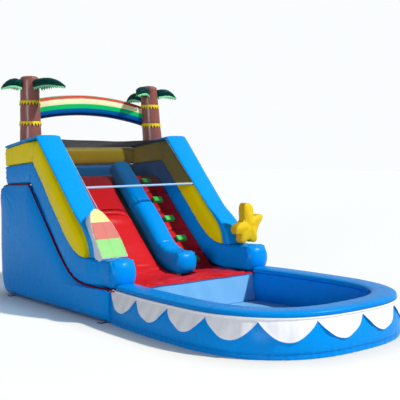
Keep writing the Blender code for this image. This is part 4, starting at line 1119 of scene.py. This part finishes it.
def build_rim():
    """Flat tube on the pool's wall."""
    unit = super_ring(RIM_COLUMNS, 3.0)
    rim = np.array((POOL_LEAN + RIM_HALF[0], RIM_Z)) + unit * RIM_HALF
    rings = around_pool(LIP_FRONT_Y - 0.002, RIM_RINGS, rim)
    joints = [RIM_RINGS * k // 4 for k in (1, 2, 3)]
    skin("pool_rim_skin", rings, BLUE, ["pool_rim"], around=[0, RIM_COLUMNS // 2], along=joints, amp=0.0012,
         groove=0.0006, seed=92, fill=TIGHT)


def build_pool_floor(inset):
    """Thin liner with soft waves, so far inside the pool's plan."""
    points, normals, _ = pool_outline(BASE_FRONT_Y - GAP, 200)
    plan = points - normals * inset
    centre = np.array((0.0, -3.7))
    rings = [at_height(plan, 0), at_height(plan, 0.02)]
    for k in range(26):
        s = 1 - k / 26
        ring = centre + (plan - centre) * s
        rise = FLOOR_THICKNESS - 0.006 * s ** 12 + 0.003 * np.sin(ring[:, 0] * 9 + 3 * np.sin(ring[:, 1] * 4))
        rings.append(at_height(ring, rise))
    skin("pool_floor_skin", rings, LINER, ["pool_floor"], along=[3], amp=0.003, seed=93)


def build_valance():
    """White scallops sewn under a piping round the pool, each a slack flap."""
    count = TOOTH_COUNT * TOOTH_COLUMNS
    points, normals, run = pool_outline(BASE_FRONT_Y - 0.006, count)
    top_z = POOL_WALL_HEIGHT + 0.010
    random = np.random.default_rng(5)
    bulge = random.uniform(0.6, 1.2, TOOTH_COUNT + 1)
    lean = random.uniform(-0.6, 0.6, TOOTH_COUNT + 1)
    grid = []
    for k in range(count + 1):
        tooth, t = k // TOOTH_COLUMNS, k % TOOTH_COLUMNS / TOOTH_COLUMNS
        scallop = math.sin(math.pi * t)
        depth = 0.020 + TOOTH_DEPTH * scallop ** 0.9
        column = []
        for f in np.linspace(0, 1, VALANCE_ROWS):
            z = top_z - depth * f
            off = 0.0045 + 0.013 * bulge[tooth] * f ** 1.3 * scallop ** 0.5
            off += 0.0080 * math.sin(t * 19 + tooth * 1.7 + f * 2.0) * f * (1 - 0.4 * f)
            off += 0.0055 * math.sin(t * 53 + tooth * 2.3) * f * math.exp(-f * 4.0) * 2.2
            off += 0.007 * f ** 4 * max(0.0, math.cos(math.pi * (t - 0.08 + 0.1 * lean[tooth]))) ** 4
            at = points[k] - normals[k] * (float(pool_wall_offset(z)) - off)
            column.append((at[0], at[1], z))
        grid.append(column)
    valance = sheet_skin("valance_cloth", grid, WHITE, 0.0015, ["scalloped_valance"])
    path = []
    for point, normal in zip(points, normals):
        at = point - normal * (POOL_LEAN - 0.005)
        path.append((at[0], at[1], POOL_WALL_HEIGHT + 0.012))
    cord_tube("valance_piping", path, 0.0105, WHITE)


# Palms and rainbow

def palm_radius(z):
    """Radius of a palm's trunk at a height."""
    t = (z - PALM_BASE_Z) / (PALM_TOP_Z[0] - PALM_BASE_Z)
    return PALM_RADII[0] + (PALM_RADII[1] - PALM_RADII[0]) * t


def palm_centre(side, z):
    """Middle of a palm's trunk at a height. The right one leans inwards."""
    lean = RIGHT_PALM_LEAN if side > 0 else 0.0
    return np.array((side * PALM_X - lean * (z - 2.07) + (0.015 if side > 0 else 0.018), PALM_Y, z))


def palm_top(side):
    """Height of a trunk's top."""
    return PALM_TOP_Z[0] if side < 0 else PALM_TOP_Z[1]


def build_palm(side, word):
    """Trunk drawn in under its bands, with the bands and the leaves."""
    low = palm_top(side) - TRUNK_CAP
    levels = [(z, 1.0) for z in np.linspace(TRUNK_FOOT_Z, low, TRUNK_RINGS)]
    levels += [(low + TRUNK_CAP * math.sin(a) ** 0.9, max(math.cos(a), 0.02) ** 0.8)
               for a in np.linspace(0.15, math.pi / 2, 14)]
    joints = [low + BAND_DEPTH / 2 for low in BAND_HEIGHTS]
    rings = []
    count = 56
    angle = TAU * np.arange(count) / count
    for z, scale in levels:
        pinch = sum(0.006 * math.exp(-abs(z - joint) / 0.03) for joint in joints)
        radius = (palm_radius(z) * (1 - pinch / 0.13)) * scale
        centre = palm_centre(side, z)
        rings.append(centre + np.stack([np.cos(angle) * radius, np.sin(angle) * radius, np.zeros(count)], 1))
    seam_rows = [index_near([z for z, _ in levels], joint) for joint in joints] + [TRUNK_RINGS]
    skin(word + "_trunk_skin", rings, BROWN, [word + "_palm_trunk"], along=seam_rows, amp=0.0028,
         groove=0.002, seed=101 + side, shape=slack(12 + side, 0.0012, 0.25), fill=TIGHT)
    for n, low in enumerate(BAND_HEIGHTS):
        build_band(side, "%s_trunk_band_%d" % (word, n + 1), low)
    for n, (bearing, length, drop) in enumerate(PALM_LEAVES[word]):
        build_leaf(side, "%s_palm_leaf_%d" % (word, n + 1), math.radians(bearing), length, drop)


def build_band(side, name, low):
    """Yellow strip with pointed tails that hang from it."""
    per_tooth = 6
    count = 20 * per_tooth
    high, solid = low + BAND_DEPTH, low + BANDS_AND_TAILS[0]
    rings = []
    for k in range(count):
        a = TAU * k / count
        out = np.array((math.cos(a), math.sin(a), 0))
        t = (k % per_tooth) / per_tooth
        tail = 1 - abs(2 * t - 1)
        bottom = solid - BANDS_AND_TAILS[1] * tail ** 1.3
        flare = 0.004 + 0.010 * tail
        ring = []
        for z, skin_gap in ((high, 0.003), (high - 0.012, 0.006), (solid, 0.006), (bottom, flare),
                            (bottom, flare - 0.002), (solid, 0.004), (high - 0.012, 0.004)):
            ring.append(palm_centre(side, z) + out * (palm_radius(z) + skin_gap))
        rings.append(ring)
    band = skin(name + "_skin", rings, BAND, [name], closed_along=True, sharp=50)
    girth = TAU * (palm_radius(low) + 0.006)
    declare_sheet(band, girth, BAND_DEPTH + 0.004)


def leaf_frame(side, bearing, length, drop):
    """Direction across a leaf, and its middle line, half width and half height as functions of 0 to 1."""
    out = np.array((math.cos(bearing), math.sin(bearing), 0))
    across = np.array((-out[1], out[0], 0))
    level = palm_top(side) - drop
    centre = palm_centre(side, level)
    root = palm_radius(level) - 0.002

    def half_width(t):
        return 0.085 * (math.sin(math.pi * min(0.28 + t * 0.75, 1.0)) ** 0.8) + 0.006

    def half_height(t):
        return 0.057 * (1 - t ** 2.6) + 0.006

    def middle(t):
        rise = half_height(t) - 0.063 + 0.022 * max(math.sin(math.pi * t), 0.0) ** 1.2
        return centre + out * (root + (length - root) * t) + UP * rise
    return across, middle, half_width, half_height


def build_leaf(side, name, bearing, length, drop):
    """Filled leaf with a seam down its back, and a jagged fringe that hangs from each edge."""
    across, middle, half_width, half_height = leaf_frame(side, bearing, length, drop)
    unit = super_ring(40, 2.2)
    rings = []
    for t in np.linspace(0, 1, 44):
        t = 1 - (1 - t) ** 1.25
        rings.append([middle(t) + across * u * half_width(t) + UP * v * half_height(t) for u, v in unit])
    leaf = skin(name + "_skin", rings, TEAL, [name], around=[0, 10, 20], amp=0.0026, groove=0.003,
                seed=int(math.degrees(bearing)), fill=TIGHT)
    teeth = 12
    for n, edge in enumerate((-1, 1)):
        grid = []
        for k in range(teeth * 6 + 1):
            t = 0.02 + 0.95 * k / (teeth * 6)
            tooth = 1 - abs(2 * ((k % 6) / 6) - 1)
            drop_down = (0.010 + 0.030 * tooth) * (1.0 - 0.35 * t)
            base = middle(t) + across * edge * (half_width(t) * 0.80)
            base = base - UP * half_height(t) * 0.72
            tip = base + across * edge * 0.010 - UP * (drop_down + half_height(t) * 0.12)
            grid.append([base, base * 0.5 + tip * 0.5 + across * edge * 0.003, tip])
        fringe = sheet_skin("%s_fringe_%d" % (name, n + 1), grid, FRINGE, 0.0015)
        fringe.parent = leaf
        declare_sheet(fringe, length, 0.045)


def declare_sheet(piece, width, height):
    """Cut area of a piece with two sides, worked out but not kept."""
    area = shown_area(piece) * 0.985
    area = min(max(area, 0.31 * width * height), width * height)


def build_arch():
    """Striped arch between the palms."""
    unit = super_ring(64, 2.4)
    rings, stripe = [], []
    for t in np.linspace(0.0, 1.0, ARCH_RINGS):
        x = ARCH_END_X[0] + (ARCH_END_X[1] - ARCH_END_X[0]) * t
        level = ARCH_END_Z[0] + (ARCH_END_Z[1] - ARCH_END_Z[0]) * t + ARCH_RISE * (1 - (2 * t - 1) ** 2)
        rings.append([(x, ARCH_Y + u * ARCH_HALF[0], level + v * ARCH_HALF[1]) for u, v in unit])
        stripe.append((unit[:, 1] + 1) / 2)
    skin("rainbow_skin", rings, RAINBOW, ["rainbow_arch"], along=[4, ARCH_RINGS - 5], amp=0.004,
         groove=0.002, seed=111, extra={"stripe": stripe}, shape=slack(3, 0.0015, 0.3), fill=TIGHT)


# Net, figures and fittings

def build_net():
    """Net over the platform and down the walls' crest, with its hem and edge piping."""
    half = WALL_INNER - 0.004
    line, lengths = resample(NET_LINE, 0.030)
    xs = np.linspace(-half, half, 58)
    grid, u_field, v_field = [], [], []
    for x in xs:
        t = (x + half) / (2 * half)
        edge = 1 - (2 * t - 1) ** 2
        column = []
        for (y, z), run in zip(line, lengths):
            f = run / lengths[-1]
            sag = 0.004 * math.sin(x * 7 + run * 5) * edge
            droop = 0.022 * edge * math.exp(-((y + 0.86) / 0.30) ** 2)
            column.append((x, y, z + 0.004 - droop + sag * math.sin(math.pi * f)))
        grid.append(column)
        u_field.append(np.full(len(line), x))
        v_field.append(lengths)
    points = np.asarray(grid)
    rows, columns = points.shape[:2]
    fields = {"net_u": np.ravel(u_field), "net_v": np.ravel(v_field)}
    net = put_mesh("net_cloth", points.reshape(-1, 3), grid_faces(rows, columns, False, False), NET,
                   ["net_canopy"], attributes=fields)
    hem = cord_tube("net_hem", [(x, NET_HEM_Y, NET_HEM_Z) for x in xs], 0.014, PIPING)
    for side, word in SIDES:
        slope = [(side * (half + 0.004), y, z + 0.012) for y, z in line if y < -0.84]
        foot_y = -2.02 if side < 0 else -1.55
        while slope[-1][1] > foot_y:
            x, y, z = slope[-1]
            slope.append((x, y - 0.03, z - 0.03 * math.tan(SLOPE)))
        cord_tube("net_piping_" + word, slope, 0.0055, PIPING)


def figure_rings(outline, place, thickness, steps=15, edge=0.45, power=3.0):
    """Rings over a flat figure's front, edge and back, and the flat outline and the scale of each."""
    outline = np.asarray(outline, float)
    centre = outline.mean(0)
    scales = [1 - (1 - k / steps) ** 2 * 0.985 for k in range(steps + 1)]
    rings, outlines = [], []
    for s, face in [(s, 1) for s in scales] + [(s, -1) for s in reversed(scales)]:
        depth = face * thickness / 2 * (edge + (1 - edge) * (1 - s ** power) ** 0.5)
        ring = centre + (outline - centre) * s
        rings.append(place(ring, depth))
        outlines.append((ring, s))
    return rings, outlines


def build_board():
    """Surfboard on the left wall's foot."""
    curve = spline([(u * BOARD_WIDTH * 1.04, v * BOARD_LENGTH) for u, v in BOARD_OUTLINE], 8)
    outline = even_loop(curve, 0.016)
    foot = np.array(BOARD_FOOT)
    up = np.array((0, math.sin(BOARD_LEAN), math.cos(BOARD_LEAN)))
    front = np.array((0, -math.cos(BOARD_LEAN), math.sin(BOARD_LEAN)))

    def place_board(ring, depth):
        return foot + np.outer(ring[:, 0], (1, 0, 0)) + np.outer(ring[:, 1], up) + front * depth
    rings, outlines = figure_rings(outline, place_board, BOARD_THICKNESS * 1.08, edge=0.93, power=6.0)
    stripe = [ring[:, 1] / BOARD_LENGTH if s < 0.965 else np.full(len(ring), 2.0) for ring, s in outlines]
    skin("surfboard_skin", rings, BOARD, ["surfboard"], along=[14, 17], amp=0.0022, groove=0.002,
         seed=121, extra={"stripe": stripe}, shape=board_spine, fill=TIGHT)


def build_star():
    """Starfish on the right wall's foot."""
    outline = even_loop(spline(STAR_OUTLINE, 12, closed=True), 0.014)
    centre = np.array(STAR_CENTRE)

    def place_star(ring, depth):
        return centre + np.column_stack([ring[:, 0], np.full(len(ring), -depth), ring[:, 1]])
    rings, _ = figure_rings(outline, place_star, STAR_THICKNESS, steps=18)
    skin("starfish_skin", rings, STAR, ["starfish"], along=[18, 19], amp=0.0045, groove=0.003,
         seed=131, shape=star_ribs, fill=TIGHT)


def board_spine(at):
    """Shallow groove down the board's middle."""
    return -0.006 * np.exp(-np.abs(at.x - BOARD_FOOT[0]) / 0.010)


def star_ribs(at):
    """Soft ribs from the star's middle to its five tips."""
    x, z = at.x - STAR_CENTRE[0], at.z - STAR_CENTRE[2]
    total = np.zeros_like(at.x)
    for angle in (100, 188, 236, 305, 35):
        a = math.radians(angle)
        along = x * math.cos(a) + z * math.sin(a)
        across = -x * math.sin(a) + z * math.cos(a)
        total += 0.010 * np.exp(-(across / 0.03) ** 2) * ramp(along, 0, 0.05) * np.exp(-along / 0.5)
    return total


def build_sleeve():
    """Cloth tube at the rear, drawn in at its strap, with folds that grow towards its end."""
    centre = np.array((SLEEVE_X, 0, SLEEVE_RADIUS + 0.001))
    count = 72
    angle = TAU * np.arange(count) / count
    face_y = BASE_REAR_Y + REAR_SWELL
    ys = np.linspace(BASE_REAR_Y + 0.02, face_y + SLEEVE_LENGTH, 48)
    rings = []
    for inner in (False, True):
        for y in (ys if not inner else ys[::-1]):
            f = max(0.0, (y - face_y) / SLEEVE_LENGTH)
            tie = math.exp(-((f - 0.74) / 0.05) ** 2)
            fold = 0.0028 * (0.3 + f) * (np.sin(angle * 11 + 3 * f) + 0.7 * np.sin(angle * 17 - 5 * f))
            radius = SLEEVE_RADIUS - 0.0045 - 0.003 * tie + fold * (1 - 0.7 * tie) - (0.002 if inner else 0.0)
            ring = np.stack([np.cos(angle) * radius, np.full(count, y), np.sin(angle) * radius], 1)
            rings.append(ring + centre * np.array((1, 0, 1)))
    sleeve = skin("blower_sleeve_cloth", rings, BLUE, ["blower_sleeve"], closed_along=True)


def build_flap():
    """Flap that hangs over the zip."""
    face = BASE_REAR_Y + REAR_SWELL + 0.0008
    hinge = np.array((face + 0.0015, ZIP_Z + FLAP_RISE))
    hang = np.array(FLAP_HANG)
    grid = []
    for x in np.linspace(ZIP_X - ZIP_LENGTH / 2 - FLAP_MARGIN, ZIP_X + ZIP_LENGTH / 2 + FLAP_MARGIN, 60):
        column = []
        for t in np.linspace(0, 1, 16):
            at = hinge + hang * t
            wave = 0.0016 * math.sin(x * 38 + t) * t ** 1.5 + 0.0015 * t
            column.append((x, at[0] + 0.002 + wave, at[1]))
        grid.append(column)
    flap = sheet_skin("zip_flap_cloth", grid, BLUE, 0.0015, ["zip_cover_flap"], body="zip_flap")


def dress_fittings():
    """Give looks to the pieces that are shown as packed."""
    nodes = frame["nodes"]
    looks = {"zip_tape": ZIP_CLOTH, "zip_slider": STEEL, "sleeve_strap": WEBBING, "base_floor_panel": BLUE,
             "base_front_panel": LINER, "baffle_chute": INNER, "baffle_middle": INNER, "baffle_climb": INNER}
    for _, word in SIDES:
        for n in (1, 2):
            looks["%s_anchor_tab_%d" % (word, n)] = WEBBING
            looks["%s_d_ring_%d" % (word, n)] = STEEL
    for name, material in looks.items():
        node = nodes[name]
        node.data.materials.clear()
        node.data.materials.append(material)


def add_light(name, kind, energy, direction, **values):
    """A lamp that shines from a direction."""
    lamp = add_object(name, bpy.data.lights.new(name, kind))
    lamp.data.energy = energy
    for key, value in values.items():
        setattr(lamp.data, key, value)
    lamp.rotation_mode = "QUATERNION"
    lamp.rotation_quaternion = Vector(direction).to_track_quat("Z", "Y")
    return lamp


def build_camera():
    """Camera that was fitted to the photograph."""
    ahead = Vector((math.sin(YAW) * math.cos(PITCH), math.cos(YAW) * math.cos(PITCH), math.sin(PITCH)))
    right = Vector((math.cos(YAW), -math.sin(YAW), 0))
    up = right.cross(ahead)
    right, up = right * math.cos(ROLL) + up * math.sin(ROLL), up * math.cos(ROLL) - right * math.sin(ROLL)
    camera = add_object("camera", bpy.data.cameras.new("camera"))
    pose = Matrix((right, up, -ahead)).transposed().to_4x4()
    pose.translation = Vector(CAMERA_PLACE) + Vector(OFFSET)
    camera.matrix_world = pose
    camera.data.sensor_width = SENSOR
    camera.data.lens = FOCAL * SENSOR
    bpy.context.scene.camera = camera


def build_floor():
    """Pale ground, greyer for the rays that light the object. A blue glow tints its shadows as painted shade
    and fades near the object as painted contact shade.
    """
    n = new_look("pale_floor")
    n.set(Roughness=0.7, Specular_IOR_Level=0.1)
    path = n.add("ShaderNodeLightPath")
    seen = n.math("MAXIMUM", path.outputs["Is Camera Ray"], path.outputs["Is Glossy Ray"])
    seen = n.math("MAXIMUM", seen, path.outputs["Is Transmission Ray"])
    pale = n.mix(n.noise(0.6), (0.85, 0.785, 0.67, 1), (0.88, 0.81, 0.69, 1))
    n.join(n.mix(seen, (0.50, 0.505, 0.52, 1), pale), n.shader.inputs["Base Color"])
    # Painted contact shade: the glow fades where the object hides the sky, by ambient occlusion.
    near = n.add("ShaderNodeAmbientOcclusion", samples=12)
    near.inputs["Distance"].default_value = 0.5
    # Painted shade: the glow is blue, and with the warm base it makes white in sunlight, so that shadows on
    # the floor are left blue.
    n.set(Emission_Color=(0.18, 0.27, 0.39, 1))
    open_sky = n.math("POWER", near.outputs["AO"], 2.5)
    n.join(n.math("MULTIPLY", seen, open_sky), n.shader.inputs["Emission Strength"])
    mesh = bpy.data.meshes.new("floor")
    mesh.from_pydata([(-60, -60, 0), (60, -60, 0), (60, 60, 0), (-60, 60, 0)], [], [(0, 1, 2, 3)])
    mesh.materials.append(n.mat)
    floor = add_object("floor", mesh)


def build_sky():
    """Bright background that lights the object only a little."""
    world = bpy.data.worlds.new("studio")
    n = Nodes(world)
    background = n.tree.nodes["Background"]
    background.inputs["Color"].default_value = (0.96, 0.98, 1.0, 1)
    path = n.add("ShaderNodeLightPath")
    shown = n.math("MULTIPLY", path.outputs["Is Glossy Ray"], MIRRORED_SKY)
    for ray in ("Is Camera Ray", "Is Transmission Ray"):
        shown = n.math("MAXIMUM", shown, path.outputs[ray])
    strength = n.add("ShaderNodeMix")
    n.put(strength.inputs[0], shown)
    n.put(strength.inputs[2], HIDDEN_SKY)
    n.put(strength.inputs[3], 1.0)
    n.join(strength.outputs[0], background.inputs["Strength"])
    bpy.context.scene.world = world


def build_lamps():
    """Sun, cool fill from the left and a low soft light in front."""
    add_light("sun", "SUN", 3.6, (0.43, -0.58, 0.69), angle=math.radians(3), color=(1.0, 0.985, 0.95))
    add_light("fill", "SUN", 1.0, (-0.86, -0.50, 0.10), angle=math.radians(16), color=(0.88, 0.93, 1.0))
    low = add_light("low_front", "AREA", 20.0, (-2.8, -2.7, 0.12), shape="RECTANGLE", size=2.6, size_y=0.5)
    low.location = Vector((-3.4, -7.4, 0.38)) + Vector(OFFSET)
    low.visible_camera = low.visible_glossy = False
    bpy.context.scene.view_settings.view_transform = "Standard"


build_camera()
build_floor()
build_sky()
build_lamps()
build_base()
build_walls()
build_rear_wall()
build_chute()
build_climbing_wall()
build_divider()
build_landing()
build_lip()
build_apron()
build_pool()
for palm_side, palm_word in SIDES:
    build_palm(palm_side, palm_word)
build_arch()
build_net()
build_board()
build_star()
build_sleeve()
build_flap()
dress_fittings()
